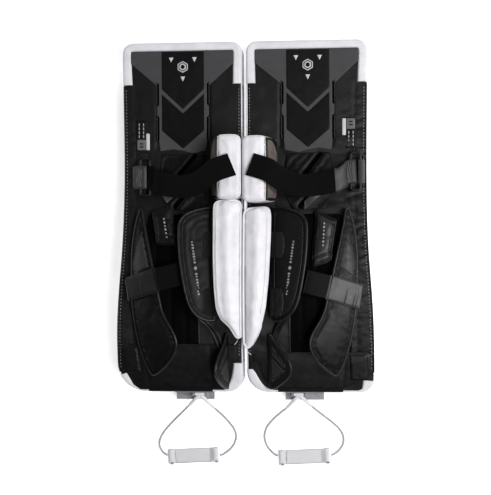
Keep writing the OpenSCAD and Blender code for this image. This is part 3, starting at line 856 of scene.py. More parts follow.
def liner(side):
    def wrinkle(q, d):
        x, y = q.T
        outer = ramp(x - 196, 40) * np.exp(-np.maximum(d - 8, 0) / 60)
        low = ramp(y - 20, 60) * ramp(700 - y, 120)
        pucker = folds(q, 8 - 24 * side, 11, 3.2, 3.7 + side)
        soft = folds(q, 60, 60, 1.0, 1.3)
        broad = folds(q, 15 - 40 * side, 34, 2.2, 6.1)
        phase = (y + (0.22 - 0.55 * side) * x) / 19 + 0.5 * folds(q, 20, 70, 1.0, 8.3 + side)
        crease = (1 - np.abs(np.sin(np.pi * phase))) ** 2
        crease *= np.clip(0.6 + folds(q, 0, 45, 1.5, 2.9 + side), 0, 1.3)
        rough = (0.6 + 0.3 * side) * pucker - 0.15 + 0.45 * side - 1.35 * crease
        total = (1.0, 2.9)[side] * outer * low * rough - 0.7 * outer
        total += ramp(d, 30) * (0.7 * (1 + side) * soft + (0.8 + 1.4 * side) * broad * low)
        return np.clip(total, -2.9, 4)

    seams = [([[249, 60], [246, 300], [243, 560], [246, 700]], 1.0, 3.0), ([[62, 60], [62, 430]], 1.0, 3.0),
             ([[75, 560], [78, 776]], 2.2, 3.0), ([[194, 560], [192, 776]], 2.2, 3.0)]
    pad = Padded(outline(side, -0.4), over_back(-4.3), over_back(-0.2), roll=3.4, crown=0.0, step=4.8, rows=2,
                 seams=seams, wrinkle=wrinkle, under=0.3)
    shape = pad.shape()
    for x0, x1, low, depth in ((-1, 40, 80, 5.0), (240, 300, 50, 4.5)):
        e = pad.edge + inward(pad.edge) * depth
        e = e[(e[:, 0] > x0) & (e[:, 0] < x1) & (e[:, 1] > low) & (e[:, 1] < 700)]
        stitches(shape, e[np.argsort(e[:, 1])], pad.top, 0.35, 1, 4.4, 3.0, 1.5)
    for x in (240, 236):
        stitches(shape, [[x, 105], [x - 4, 400], [x - 5, 690]], pad.top, 0.2, 2)
    mats = ["black_nylon", "stitching", "black_thread"]
    obj = make("back_liner", side, shape, mats, "pad")


def walls(side):
    """The side walls, white on the inner side and round the ends, and black on the outer side."""
    path = along(outline(side)[:-1], 5, closed=True)
    n = normals(np.vstack((path[-1:], path, path[:1])))[1:-1]
    x, y = path.T
    low, high = face_z(y) + 2.6, back_z(y) - 3.8
    parts = np.linspace(0, 1, 11)
    rows = []
    for t in parts:
        z = low + (high - low) * t
        bow = math.sin(math.pi * t)
        ripple = 0.35 * hills(np.column_stack((path * 0.5, z)), 16, 4.2 + side) * bow
        shift = 0.9 * math.exp(-(((t - 0.5) / 0.06) ** 2)) - 1.1 * bow**0.8 - ripple
        rows.append(np.column_stack((path + n * np.clip(shift, -1.4, 2)[:, None], z)))
    dark = (x > 150) & (y > 44) & (y < 704)
    shape = Shape()
    uv = np.stack(np.broadcast_arrays(np.arange(len(path))[None] * 0.005, (parts * 0.053)[:, None]), -1)
    shape.grid(rows, dark.astype(int).tolist() * (len(rows) - 1), True, uv)
    # Piping along both edges, dark at the outer side and in the middle of the toe
    piped = dark | ((y < 4) & (x > 62) & (x < 216))
    for z in (low, high):
        at = np.column_stack((path + n * 0.6, z))
        for part, m in ((piped, 2), (~piped, 3)):
            for b in runs(part):
                if len(b) > 3:
                    shape.tube(at[b], 1.7, m)
    for part in (dark, ~dark):
        for t in (0.12, 0.88):
            at = np.column_stack((path - n * 0.65, low + (high - low) * t))
            for b in runs(part):
                d = travelled(path[b])
                for start in np.arange(3, d[-1] - 4, 6.4) if len(b) > 6 else ():
                    stitch = start + np.linspace(0, 3.4, 3)
                    shape.tube(np.column_stack([np.interp(stitch, d, c) for c in at[b].T]), 0.42, 4, sides=4)
    mats = ["white_leather", "black_leather", "piping", "white_leather", "stitching"]
    make("side_walls", side, shape, mats, "pad")


def front(side):
    """The front cover: broad padded fields between sewn channels, built with its face up."""
    lines = [[[30, 20], [30, 780]], [[246, 30], [240, 780]], [[0, 176], [280, 196]], [[0, 420], [280, 420]],
             [[0, 452], [280, 452]], [[0, 548], [280, 548]], [[0, 690], [280, 700]]]
    pad = Padded(outline(side), lambda q: 57 - back_z(q[:, 1]), lambda q: -face_z(q[:, 1]), roll=5.0, crown=0.0,
                 step=8, seams=[(p, 1.5, 3.0) for p in lines], under=0.3, place=lambda p: p * (1, 1, -1),
                 wrinkle=lambda q, d: -0.25 - 0.25 * folds(q, 0, 40, 1.5, 8.1))
    shape = Shape().add(pad.place(pad.v), [f[::-1] for f in pad.f])
    for p in lines:
        q = along(p, 4)
        q = q[inside(q, pad.edge) & (dist(q, pad.edge, True) > 8)]
        for off in (-3.2, 3.2):
            stitches(shape, q + normals(q) * off, pad.top, 0.0, 1, 3.6, 2.6, 0.9)
    obj = make("front_cover", side, shape, ["white_leather", "stitching"], "pad")


def edge_band(name, side, outer, inner, height, mats, colours, seed, rows_of_stitches):
    """A soft band between two rails on the pad's back, with its outer side turned down the wall.

    Each row of stitches is a part of the rails, its place between them, its height and its lift.
    """
    n = -normals(outer)
    if np.linalg.norm(outer[0] + n[0] * 5 - inner[0]) < np.linalg.norm(outer[0] - n[0] * 5 - inner[0]):
        n = -n
    lip = n * 1.4
    rows = []
    for t in (0, 1 / 3, 0.9, 0.97):
        rows.append(np.column_stack((outer + lip, face_z(outer[:, 1]) + 4 + (THICKNESS - 6) * t)))
    for k in np.linspace(0, 1, 9):
        q = outer * (1 - k) + inner * k
        z = back_z(q[:, 1]) + height * np.sqrt(np.clip(1 - (2 * k - 1) ** 4, 0, 1)) + 0.05
        q = q + lip * (1 - k) ** 3
        bump = 0.56 * hills(np.column_stack((q, z)), 14, seed) * math.sin(math.pi * min(1, k + 0.1))
        rows.append(np.column_stack((q, z + bump)))
    rows.append(np.column_stack((inner, back_z(inner[:, 1]) - 2.0)))
    uv = np.broadcast_arrays(travelled(outer)[None] / 1000, np.linspace(0, 0.08, len(rows))[:, None])
    shape = Shape().grid(rows, list(colours) * (len(rows) - 1), False, np.stack(uv, -1))
    m = len(outer)
    for j in (0, m - 1):
        ring = [i * m + j for i in range(len(rows))]
        shape.f.append(tuple(ring if j else ring[::-1]))
        shape.m.append(colours[0])
    for part, k, over, lift in rows_of_stitches:
        q = (outer * (1 - k) + inner * k)[part]
        stitches(shape, q, put_on(over_back(over)), lift, 1, 3.2, 2.4, 0.8)
    make(name, side, shape, mats, "pad")


def top_binding(side):
    rail = bezier((272, 760), (270, 560), (266, 420), (275, 290), 40)
    end = (np.interp(705, rail[::-1, 1], rail[::-1, 0]), 705)
    lateral = np.vstack(([(272, 778)], rail[rail[:, 1] > 705], [end]))
    outer = chain(([(0, 705), (0, 778)], 34), (arc((22, 778), 22, 180, 90), 16), ([(22, 800), (250, 800)], 60),
                  (arc((250, 778), 22, 90, 0), 16), (lateral, 34))
    inner = chain(([(19, 705), (17.5, 774)], 34), (bezier((17.5, 774), (17.5, 780), (19, 782), (25, 782.4)), 16),
                  ([(25, 782.4), (245, 782.4)], 60), (bezier((245, 782.4), (252, 782), (254, 780), (254.5, 774)), 16),
                  ([(254.5, 774), (251.5, 705)], 34))
    edge_band("top_binding", side, outer, inner, 3.6, ["white_leather", "pale_thread"], [0] * (len(outer) - 1),
              2.2 + side, ((slice(None), 0.86, 2.9, 0.3), (slice(None), 0.14, 2.9, 0.2)))


def toe_guard(side):
    """White round both corners of the toe, and dark between them."""
    if side:
        corner = join([(0, 52)], arc((46, 46), 46, 180, 270), [(64, 0)])
        inner_corner = join([(10, 52)], bezier((10, 52), (25, 40), (24, 8), (60, 3)), [(64, 3)])
        far = join([(214, 0)], arc((255, 30), 30, 270, 352))
        inner_far = [(214, 3), (250, 3), (259, 7), (261.5, 27)]
    else:
        corner = join([(0, 66)], arc((34, 34), 34, 180, 270), [(64, 0)])
        inner_corner = join([(19, 66)], bezier((19, 66), (21, 40), (27, 12), (42, 3)), [(64, 3)])
        far = join([(214, 0)], arc((221, 64), 64, 270, 336))
        inner_far = [(214, 3), (237, 3), (252, 14), (267, 42)]
    outer = chain((corner, 34), ([(64, 0), (214, 0)], 40), (far, 34))
    inner = chain((inner_corner, 34), ([(64, 3), (214, 3)], 40), (inner_far, 34))
    colours = [2 if 34 <= j <= 72 else 0 for j in range(len(outer) - 1)]
    edge_band("toe_guard", side, outer, inner, 2.6, ["white_leather", "pale_thread", "boot_black"], colours,
              6.2 + side, ((slice(0, 33), 0.88, 2.2, 0.1), (slice(74, None), 0.88, 2.2, 0.1)))


def thigh_panel(side):
    m = MID[side]
    half = [(56, 698), (56, 657), (60, 655), (60, 633), (56, 631), (56, 580), (53, 552)]
    edge = [(254.5, 782.5), (254.5, 754), *[(m + x, y) for x, y in half], (m + 24, 556), (m - 2, 552),
            (m - 22, 546), *[(m - x, y) for x, y in half[::-1]], (17.5, 752), (17.5, 782.5)]

    def crumple(q):
        return folds(q, 20, 30, 1.6, 5.5 + side)

    def wrinkle(q, d):
        return 0.35 * crumple(q) * ramp(d, 6) * np.clip((700 - q[:, 1]) / 100, 0.2, 1)

    pad = Padded(edge, over_back(-0.5), over_back(2.5), roll=1.0, crown=0.0, wrinkle=wrinkle, spacing=2.2)
    obj = make("thigh_panel", side, pad.shape(), ["grey_panel"], "pad")

    shape = Shape()
    for k, (a, b, c, d) in enumerate(((780.5, 780, 694, 648), (683, 638, 599, 557))):
        edge = [(m - 49, a), (m - 49, c), (m, d), (m + 49, c), (m + 49, a), (m, b)]
        arrow = plate(shape, edge, over_back(2.2), over_back(3.4), k, 0.7, 0.1, 5, lambda q, d: 0.2 * crumple(q))
        e = along(arrow.edge + inward(arrow.edge) * 2.6, 3, closed=True)
        stitches(shape, looped(e), arrow.top, 0.12, 2, 2.6, 2.2, 0.6)
    # Slots along the panel's long edges, each with a piped lip and a near-black patch in it: painted shade for the
    # slot's inside
    for sign in (-1, 1):
        for y0, y1, off in ((659, 708, 57.5), (577, 630, 57.0)):
            x, lip = m + sign * off, m + sign * (off + 3.2)
            slot = [(x - 2.4, y0), (x + 2.4, y0), (x + 2.4, y1), (x - 2.4, y1)]
            raised(pad, shape, slot, 3, 0.7, 0.6, 3)
            shape.tube(pad.top(along([(lip, y0 - 2), (lip, y1 + 2)], 5), 0.3), 1.3, 4, sides=7)
    mats = ["black_leather", "chevron", "black_thread", "painted_hole_shade", "piping"]
    make("thigh_inlays", side, shape, mats, "pad")

    # The emblem: a six-sided ring with a plain middle, and three small darts about it
    shape = Shape()
    z = float(back_z(745.0)) + 3.6
    for lift, size, mat in ((0.0, 13.5, 0), (0.4, 11.2, 1), (0.8, 8.6, 0), (1.1, 5.6, 1)):
        ring = [(m + size * math.cos(a), 745 + size * math.sin(a)) for a in np.radians(np.arange(30, 390, 60))]
        plate(shape, ring, level(z - 0.4), level(z + 0.5 + lift), mat, 0.4, 0.1, 3)
    for x, y in ((m - 27, 762), (m + 27, 762), (m, 718)):
        dart = [(x - 5.5, y + 5), (x, y - 6.5), (x + 5.5, y + 5)]
        plate(shape, dart, level(z - 0.4), level(z + 0.2), 2, 0.2, 0.0, 2)
    make("thigh_emblem", side, shape, ["print_white", "black_leather", "print_white"], "pad")


def knee_sling(side):
    m = MID[side]
    half = [(50, 545), (54, 500), (50, 440), (36, 415)]
    edge = [(m - x, y) for x, y in half] + [(m + x, y) for x, y in half[::-1]]
    slant = math.radians((-50, 52)[side])
    run = np.array((math.cos(slant), math.sin(slant)))
    reach = run * np.linspace(-31, 31, 12)[:, None]
    slots = [np.array(c) + reach for c in ((m - 10 + 20 * side, 519), (m, 445))]

    def wrinkle(q, d):
        z = 1.4 * folds(q, (-48, 50)[side], 30, 3.2, 2.4 + side) + 0.25 * folds(q, 10, 14, 3, 7.7)
        z *= ramp(d, 7)
        for s in slots:
            off = dist(q, s)
            z += 1.2 * np.exp(-(((off - 12) / 6) ** 2)) - 2.4 * np.exp(-((off / 6) ** 4))
        return z

    pad = Padded(edge, over_back(-0.5), over_back(3.6), roll=2.2, crown=0.6, step=3.4, wrinkle=wrinkle)
    pad.swell(f"sling{side}", [(s, 6) for s in slots], pressure=1.2, cap=0.9, slack=0.005)
    slits = Shape()
    for s in slots:
        out = np.vstack((s + normals(s) * 6, s[-1:] + run * 4.4, s[::-1] - normals(s) * 6, s[:1] - run * 4.4))
        out = smooth(along(join(out, out[:1]), 3))[:-1]
        slits.tube(pad.top(out, 0.5), 0.9, 0, sides=7, closed=True)
        # A near-black patch in each slit: painted shade for its inside
        raised(pad, slits, out, 1, 0.9, 0.6, 3, -1.5)
    make("sling_slots", side, slits, ["grey_stretch", "painted_hole_shade"], "pad")
    obj = make("knee_sling", side, pad.shape(), ["grey_stretch"], "pad")
    # The fold of cloth over the lower slot
    flap = Shape()
    (ax, ay), (bx, by) = (((m - 2, 470), (m + 42, 440)), ((m - 8, 424), (m + 38, 462)))[side]
    ends = [(ax, ay, back_z(ay) + 7.5), (bx, by, back_z(by) + 7.5)]
    ends.insert(1, ((ax + bx) / 2, (ay + by) / 2 + 3, back_z(ay) + 10.0))
    ribbon(flap, ends, heading((-34, 0)[side]), 20, 1.6, 8, 4.0, wave=0.9, seed=4.4)
    obj = make("sling_fold", side, flap, ["light_stretch"], "pad")


def channel(side):
    low = (109, 92)[side]
    edge = [(97, low), (236, low), (232, 300), (214, 405), (97, 405)]
    seams = [([[x, 100], [x - 3, 410]], 1.8, 3.5) for x in (126, 160, 196)]
    pad = Padded(edge, over_back(-0.5), over_back(2.2), roll=2.0, crown=1.7, belly=14, step=5.5, seams=seams,
                 wrinkle=lambda q, d: 0.6 * folds(q, 5, 22, 2.5, 9.1 + side) * ramp(d, 10))
    shape = pad.shape()
    for p, _, _ in seams:
        for off in (-2.5, 2.5):
            stitches(shape, np.array(p) + (off, 0), pad.top, 0.1, 1)
    shape.tube(pad.top(along([(96.5, low), (96.5, 300)], 5), 0.8), 1.7, 2)
    obj = make("channel_liner", side, shape, ["channel_black", "black_thread", "piping"], "pad")


def boot(side):
    top = (108, 90)[side]
    edge = [(24, 66), (36, 24), (62, 7), (216, 7), (240, 20), (255, 44), (278, 48), (279, top), (12, top), (10, 68)]
    pad = Padded(smooth(along(edge, 6, closed=True), 1), over_back(-0.5), over_back(2.2), roll=1.8, crown=0.7,
                 belly=16, step=6, seams=[([[214, 8], [220, 60], [222, top]], 1.4, 2.5),
                                          ([[70, 8], [72, top]], 1.0, 2.5)],
                 wrinkle=lambda q, d: (0.35 + 0.3 * side) * folds(q, 30, 18, 2.5, 3.1 + side) * ramp(d, 10))
    shape = pad.shape()
    stitches(shape, [[14, top - 3], [277, top - 3]], pad.top, 0.2, 1)
    # The patch over the outer corner
    patch = ([(239, 104), (277, 104), (272, 41), (232, 43)], [(230, 86), (272.6, 88), (272, 27), (232, 25)])[side]
    raised(pad, shape, patch, 0, 1.3, 1.6, 5)
    q = along(counterclockwise(patch), 4, closed=True)
    stitches(shape, looped(q + inward(q) * 2.5), pad.top, 1.2, 1)
    stitches(shape, [[217, 8], [223, 60], [225, 104]], pad.top, 0.1, 1)
    shape.tube(pad.top(along([[12, top + 0.5], [279, top + 0.5]], 6), -0.4), 1.5, 2)
    obj = make("boot_panel", side, shape, ["boot_black", "black_thread", "piping"], "pad")


def label(side):
    """A sewn label with blank fields and small bars in the place of its print."""
    x, y0, y1 = 212 + 5 * side, 553, 624
    shape = Shape()

    def patch(a, b, c, d, mat, high):
        if side:
            b, d = y0 + y1 - d, y0 + y1 - b
        edge = [(a, b), (c, b), (c, d), (a, d)]
        plate(shape, edge, level(THICKNESS - 0.3), level(THICKNESS + high), mat, 0.3, 0.1, 4)

    patch(x + 7, y0, x + 31, y1, 1, 0.7)
    patch(x + 9, y0 + 2, x + 29, y0 + 26, 0, 1.2)
    patch(x, y0 + 2, x + 8, y0 + 40, 2, 1.1)
    for at in (x + 13, x + 23):
        for y in range(y0 + 30, y0 + 58, 9):
            patch(at, y, at + 2.6, y + 7.5, 3, 1.2)
    patch(x + 15, y0 + 8, x + 23, y0 + 11, 1, 1.5)
    patch(x + 15, y0 + 15, x + 25, y0 + 18, 1, 1.5)
    make("sewn_label", side, shape, ["label_grey", "label_black", "print_white", "print_soft"], "pad")


for side in (0, 1):
    for build in (liner, walls, front, top_binding, toe_guard, thigh_panel, knee_sling, channel, boot, label):
        build(side)


# ---- The blocks on the inner edge


def knee_block(side):
    top = 150.0
    low, high = ((439, 581), (432, 578))[side]
    edge = smooth(join(arc((7, low + 12), 12, 180, 270, 5), arc((37, low + 9), 9, 270, 360, 5),
                       arc((37, high - 9), 9, 0, 90, 5), arc((7, high - 12), 12, 90, 180, 5)), 1)

    def place(p):
        """Spreads the side that faces the leg towards its foot, and tucks the other one in."""
        x, y, z = p.T
        spread = 23 * ramp(top - 8 - z, top - 70) * ramp(x - 10, 36)
        return np.column_stack((x + spread + 11 * ramp(76 - z, 16) * ramp(20 - x, 25), y, z))

    ridge = [[10, low + 4], [10, high - 4]]
    pad = Padded(edge, over_back(0.3), level(top - 3.4), roll=9, crown=3.2, belly=24, bulge=1.2, rows=13, under=2,
                 seams=[(ridge, 1.0, 3.0)], place=place,
                 wrinkle=lambda q, d: 0.35 * folds(q, 15, 24, 2, 2.2) * ramp(d, 12))
    pad.hold = pad.hold[(pad.v[pad.hold, 2] < 66) | (pad.v[pad.hold, 0] > 38)]
    pad.swell(f"knee_block{side}", [(ridge, 3)], pressure=2.2, cap=2.2, slack=0.015)
    pad.v[:, 2] = np.minimum(pad.v[:, 2], top + 1.5)
    x, _, z = pad.middles().T
    shape = pad.shape(np.where((x > 44.5) & (z < top - 9), 3, 0))
    loop = put_on(level(top - 10.5))(pad.edge + inward(pad.edge) * 0.6)
    shape.tube(pad.place(loop), 1.3, 1, closed=True)
    stitches(shape, [[12.5, low + 8], [12.5, high - 8]], pad.top, 0.5, 2)
    mats = ["white_leather", "white_leather", "pale_thread", "boot_black"]
    obj = make("knee_block", side, shape, mats, "pad")

    # The grip fabric on the side that faces the leg, with a black border
    def wall(y, z, out):
        return np.column_stack((46 + 23 / (top - 70) * (top - 8 - z) + out, y, z))

    low, high = low + 6, high - 6
    yy, part = np.meshgrid(np.linspace(low, high, 34), np.linspace(0, 1, 15))
    bottom = 72 + (1 - ramp(high - yy, 30)) ** 2 * 34 + (1 - ramp(yy - low, 14)) ** 2 * 12
    zz = 136.5 - part * (136.5 - bottom)
    d = np.minimum(np.minimum(yy - low, high - yy), np.minimum(136.5 - zz, zz - bottom))
    y, z = yy.ravel(), zz.ravel()
    bumps = hills(np.column_stack((y * 0.6, z, y * 0)), 14, 3.3).reshape(yy.shape)
    out = 0.9 + 2.3 * (1 - np.exp(-d / 3.0)) + 0.25 * bumps * ramp(d, 8)
    shape = Shape().grid(wall(y, z, out.ravel()).reshape(*yy.shape, 3))
    border = join(np.column_stack((yy[0], zz[0])), np.column_stack((yy[-1], zz[-1]))[::-1])
    shape.tube(wall(*along(border, 4, closed=True).T, 1.6), 2.8, 1, closed=True)
    obj = make("knee_block_lining", side, shape, ["taupe_nash", "piping"], "pad")


CALF_EDGE = (
    [(-4.6, 131), (1, 126), (6, 127), (21, 153), (40, 170), (50, 193), (54.5, 240), (57, 308), (57.2, 420),
     (55, 430), (47, 435), (6, 436), (-2, 433), (-4.6, 425)],
    [(-4.6, 116), (0, 107), (5, 104), (11, 107), (21, 124), (33, 146), (44.5, 195), (51.5, 260), (56, 350),
     (56.8, 400), (55, 414), (48, 420), (6, 417), (-2, 412), (-4.6, 404)],
)


def calf_block(side):
    def wrinkle(q, d):
        x, y = q.T
        middle = np.interp(y, [110, 150, 220, 400], [9, 16, 24, 28])
        ridge = 5.5 * ramp(y - 140, 60) * np.exp(-(((x - middle) / 8) ** 2))
        medial = (3.5, 10.5)[side] * ramp(18 - x, 23) ** 1.4
        return ridge - medial + 0.35 * folds(q, 88, 20, 4, 6.6) * ramp(d, 10) - 1.5 * ramp(x - 36, 20)

    def low(q):
        """The underside, high over the leg's channel and at the inner edge."""
        return back_z(q[:, 1]) + 0.3 + 53.5 * ramp(q[:, 0] - 34, 3) + 7.5 * ramp(4 - q[:, 0], 6)

    seam = [[36 - 4 * side, 185], [41, 250], [44.5, 330], [45, 428 - 14 * side]]
    pad = Padded(smooth(along(CALF_EDGE[side], 4, closed=True)), low, over_back(63.5), roll=9, crown=1.0, belly=20,
                 bulge=0.9, rows=10, wrinkle=wrinkle, under=1.2, seams=[(seam, 1.8, 3.4)], spacing=4)
    at = pad.v[pad.hold]
    pad.hold = pad.hold[(at[:, 0] > 30) | (at[:, 2] < back_z(at[:, 1]) + 10)]
    pad.swell(f"calf_block{side}", [(seam, 2.5)], pressure=2.2, cap=1.6, slack=0.012)
    pad.v[:, 2] = np.minimum(pad.v[:, 2], back_z(pad.v[:, 1]) + 67.5)
    shape = pad.shape()
    # The bound edge round the block's top, and a welt along its outer side
    shape.tube(put_on(over_back(56.5))(pad.edge + inward(pad.edge)), 2.6, 1, sides=9, closed=True)
    welt = inset_path(pad.edge, 6.5)
    welt = welt[(welt[:, 0] > 12) & (welt[:, 1] > 175) & (welt[:, 1] < 400)]
    welt = smooth(along(welt[np.argsort(welt[:, 1])], 6), 12)
    shape.tube(pad.top(welt), 0.8, 1, sides=7)
    obj = make("calf_block", side, shape, ["white_leather", "white_leather"], "pad")
    # The tail of the binding below the block's tip
    tail = Shape()
    y = (124, 101)[side]
    z = float(back_z(y))
    ribbon(tail, [(3, y, z + 54), (6, y - 6, z + 49), (11, y - 11, z + 44)], heading(30), 2.6, 1.2, 4, 3)
    make("block_tail", side, tail, ["white_webbing"], "pad")


# ---- The padded wings

BINDING = 3.3
INNER_WING = join([(57, 165), (70, 164)], bezier((70, 164), (100, 170), (114, 188), (122, 225)),
                  bezier((122, 225), (130, 262), (140, 320), (138, 375)),
                  bezier((138, 375), (138, 402), (118, 412), (78, 420)), [(57, 420)])
OUTER_WING = join(bezier((249, 310), (247, 350), (242, 390), (229, 420)), [(229, 420), (224, 419)],
                  bezier((219, 385), (207, 325), (192, 262), (180, 205)),
                  bezier((180, 205), (174, 165), (142, 142), (142, 112)),
                  bezier((142, 112), (144, 86), (172, 54), (201, 38)),
                  bezier((201, 38), (222, 62), (240, 130), (247, 205)))
# Where a wing's fold is in x and z, and how far the wing is lifted about it at rest
INNER_FOLD = ((56, 96), 14)
OUTER_FOLD = ((252, 88), -15)


def wing(name, side, points, fold, low, body, seam, belly, crown, mats, inset, extra, wrinkle=None, bound=None):
    """A flat padded plate that is lifted about its fold, with a soft binding round its edge."""
    thick = 11
    flat = counterclockwise(unturned(points, *fold, low + thick * 0.5))

    def grooved(q, d):
        """A groove between the binding and the padding."""
        groove = -1.9 * np.exp(-(((d - BINDING * 2.2) / 2.0) ** 2))
        return groove + (wrinkle(q, d) if wrinkle else 0)

    pad = Padded(smooth(along(flat, 4, closed=True), 1), over_back(low + 0.5), over_back(low + thick - 1.2), roll=3.6,
                 crown=crown, belly=belly, bulge=0.6, rows=3, under=2.0, seams=[seam], place=turned(*fold),
                 wrinkle=grooved)
    pad.swell(name, [(looped(pad.edge), 5.0), (seam[0], 2.5)], pressure=1.4, cap=1.4, slack=0.004)
    shape = pad.shape(np.where(dist(pad.middles(), pad.edge, True) < inset, 4, 0))
    e = pad.edge + inward(pad.edge) * (BINDING * 0.35)
    rim = pad.place(put_on(over_back(low + thick * 0.55))(e))
    if bound:
        shape.tube(kept_run(rim, bound(e)), BINDING, 1, sides=10)
    else:
        shape.tube(rim, BINDING, 1, sides=10, closed=True)
    for part in without_gaps(inset_path(pad.edge, inset)):
        shape.tube(pad.top(smooth(part, 4), 0.2), 0.8, 1, sides=6)
    for part in without_gaps(inset_path(pad.edge, BINDING + 5.5)):
        stitches(shape, part, pad.top, 0.15, 2, wide=0.8)
    extra(pad, shape)
    obj = make(name, side, shape, mats + ["edge_black"], body)
    return pad


def printed_bars(pad, shape, start, end, count, wide):
    """A row of small printed bars with a lozenge at its middle: a plain stand-in for a print."""
    a, b = np.array(start, float), np.array(end, float)
    run = unit(b - a)
    across = np.array((-run[1], run[0]))
    places = 2 * count + 3
    pitch = np.linalg.norm(b - a) / places
    for k in range(places):
        if abs(k - count - 1) > 1:
            c = a + run * pitch * (k + 0.5)
            w = across * wide * (0.75 + 0.25 * ((k * 7) % 3) / 2)
            h = run * pitch * 0.32
            raised(pad, shape, [c - h - w, c + h - w, c + h + w, c - h + w], 3, 0.12, 0.3, 2.5, 0.0)
    c = (a + b) / 2
    raised(pad, shape, [c - run * 5.5, c - across * 4, c + run * 5.5, c + across * 4], 3, 0.15, 0.3, 2.5, 0.0)


def inner_wing(side):
    ridge = [(64, 200), (100, 214), (112, 262), (121, 330), (120, 378), (108, 396), (64, 400)]
    ridge = along(smooth(ridge, 1), 5)
    pad = wing("inner_calf_wing", side, INNER_WING, INNER_FOLD, 18, "inner_wing", (ridge, 0.9, 2.4), 14, 1.4,
               ["soft_black", "piping", "black_thread", "print_grey"], 9.0, bound=lambda e: e[:, 0] > 60,
               extra=lambda pad, shape: printed_bars(pad, shape, (112, 345), (97, 222), 8, 2.6))
    shape = Shape()
    for lo, hi in ((176, 238), (306, 364)):
        mid = (lo + hi) / 2
        edge = [(58, lo), (84, lo), (89, lo + 8), (90, mid), (89, hi - 8), (84, hi), (58, hi)]
        q = along(counterclockwise(edge), 3, closed=True)
        p, tris = fill(q, 4, [1.2])
        flat = pad.plain(p)
        d = dist(p, q, True)
        flat[:, 2] += 0.4 + 1.9 * ramp(d, 1.2) ** 0.5 + 0.9 * np.exp(-(((p[:, 0] - 86) / 3) ** 2)) * (d > 0.5)
        shape.add(pad.place(flat), tris, 0, p[:, ::-1] / 1000)
        stitches(shape, [[63, lo + 3], [63, hi - 3]], pad.top, 2.4, 1, gap=2, wide=0.8)
        stitches(shape, [[85, lo + 6], [86, hi - 6]], pad.top, 2.8, 1, gap=2, wide=0.8)
        lip = smooth([(83, lo + 1), (89.5, lo + 8), (91, mid), (89.5, hi - 8), (83, hi - 1)], 1)
        shape.tube(pad.top(along(lip, 3), 1.4), 1.1, 2, sides=7)
    # The binding's tail, from the wing's tip down to the ankle wing
    run = ([(97, 172), (74, 155), (61, 134), (50, 100)], [(94, 172), (76, 150), (69, 128), (64, 104)])[side]
    run = along(smooth(run, 1), 5)
    z = np.interp(run[:, 1], [100, 140, 172], [88, 96, 112])
    neck = Shape()
    ribbon(neck, np.column_stack((run - (6, 0), z)), (1, 0.25, 0.05), 15, 5.0, 8, 4, wave=0.5, seed=3.7 + side)
    for off in (0, -12):
        neck.tube(np.column_stack((run + (off, off * 0.15), z + 2.0)), 2.2, 1)
    tail = make("wing_tail", side, neck, ["soft_black", "piping"], None)
    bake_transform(tail)
    make("wing_loops", side, shape, ["black_webbing", "black_thread", "edge_grey"], "inner_wing")


def outer_wing(side):
    def flat(points):
        return unturned(points, *OUTER_FOLD, 12)

    def extra(pad, shape):
        """A grey panel on the wing, with stitching round it and a cut across it."""
        grey = flat([(225, 372), (229, 352), (243, 318), (246, 292), (243, 262), (208, 286), (216, 330)])
        raised(pad, shape, grey, 3, 0.5, 0.8, 4.5)
        stitches(shape, looped(counterclockwise(along(grey, 3, closed=True))), pad.top, 0.35, 2, 2.6, 2)
        shape.tube(pad.top(along(flat([(222, 352), (240, 318)]), 3), 0.4), 1.0, 1, sides=6)

    seam = flat([(178, 218), (200, 224), (226, 222), (246, 214)])
    wing("outer_calf_wing", side, OUTER_WING, OUTER_FOLD, 5, "outer_wing", (seam, 1.3, 3.5), 16, 1.8,
         ["wing_black", "piping", "black_thread", "wing_grey"], 7.5, extra=extra,
         wrinkle=lambda q, d: 0.16 * folds(q, 35, 26, 3, 5.5) * ramp(d, 14))


def ankle_wing(side):
    points = join([(0, 12), (0, 136), (7, 136)], bezier((7, 136), (14, 110), (58, 92), (60, 62)),
                  bezier((60, 62), (60, 42), (30, 20), (12, 10)), [(4, 9)])
    lift, x0 = math.radians((66, 28)[side]), (34, 50)[side]
    slope = math.radians(9)

    def place(p):
        """Lifts the wing about its fold, and slopes the fold with the pad's back."""
        x = p[:, 0] * math.cos(lift) - p[:, 2] * math.sin(lift)
        z = p[:, 0] * math.sin(lift) + p[:, 2] * math.cos(lift)
        y = p[:, 1] * math.cos(slope) - z * math.sin(slope)
        z = p[:, 1] * math.sin(slope) + z * math.cos(slope)
        return np.column_stack((x + x0, y, z + 69.5))

    edge = smooth(along(counterclockwise(points), 3.5, closed=True), 1)
    seam = along(smooth([(8, 118), (30, 92), (48, 72), (50, 58), (34, 38), (10, 22)], 1), 4)
    pad = Padded(edge, level(0.2), level(7.0), roll=3, crown=1.0, belly=10, bulge=0.4, step=4.5, rows=2, under=1.5,
                 seams=[(seam, 0.8, 2.2)], place=place)
    pad.swell("ankle_wing", [(looped(pad.edge), 4.0), (seam, 2.5)], pressure=1.8, cap=1.4, slack=0.02)
    shape = pad.shape()
    e = pad.edge + inward(pad.edge)
    shape.tube(kept_run(place(put_on(level(4.2))(e)), e[:, 0] > 2.5), 3.1, 1, sides=9)
    raised(pad, shape, [(10, 112), (32, 86), (47, 68), (44, 60), (8, 92)], 3, 0.35, 0.6, 4)
    raised(pad, shape, [(8, 84), (44, 55), (32, 40), (10, 26)], 3, 0.35, 0.6, 4)
    mats = ["soft_black", "piping", "black_thread", "ankle_grey"]
    obj = make("ankle_wing", side, shape, mats, "ankle_wing")


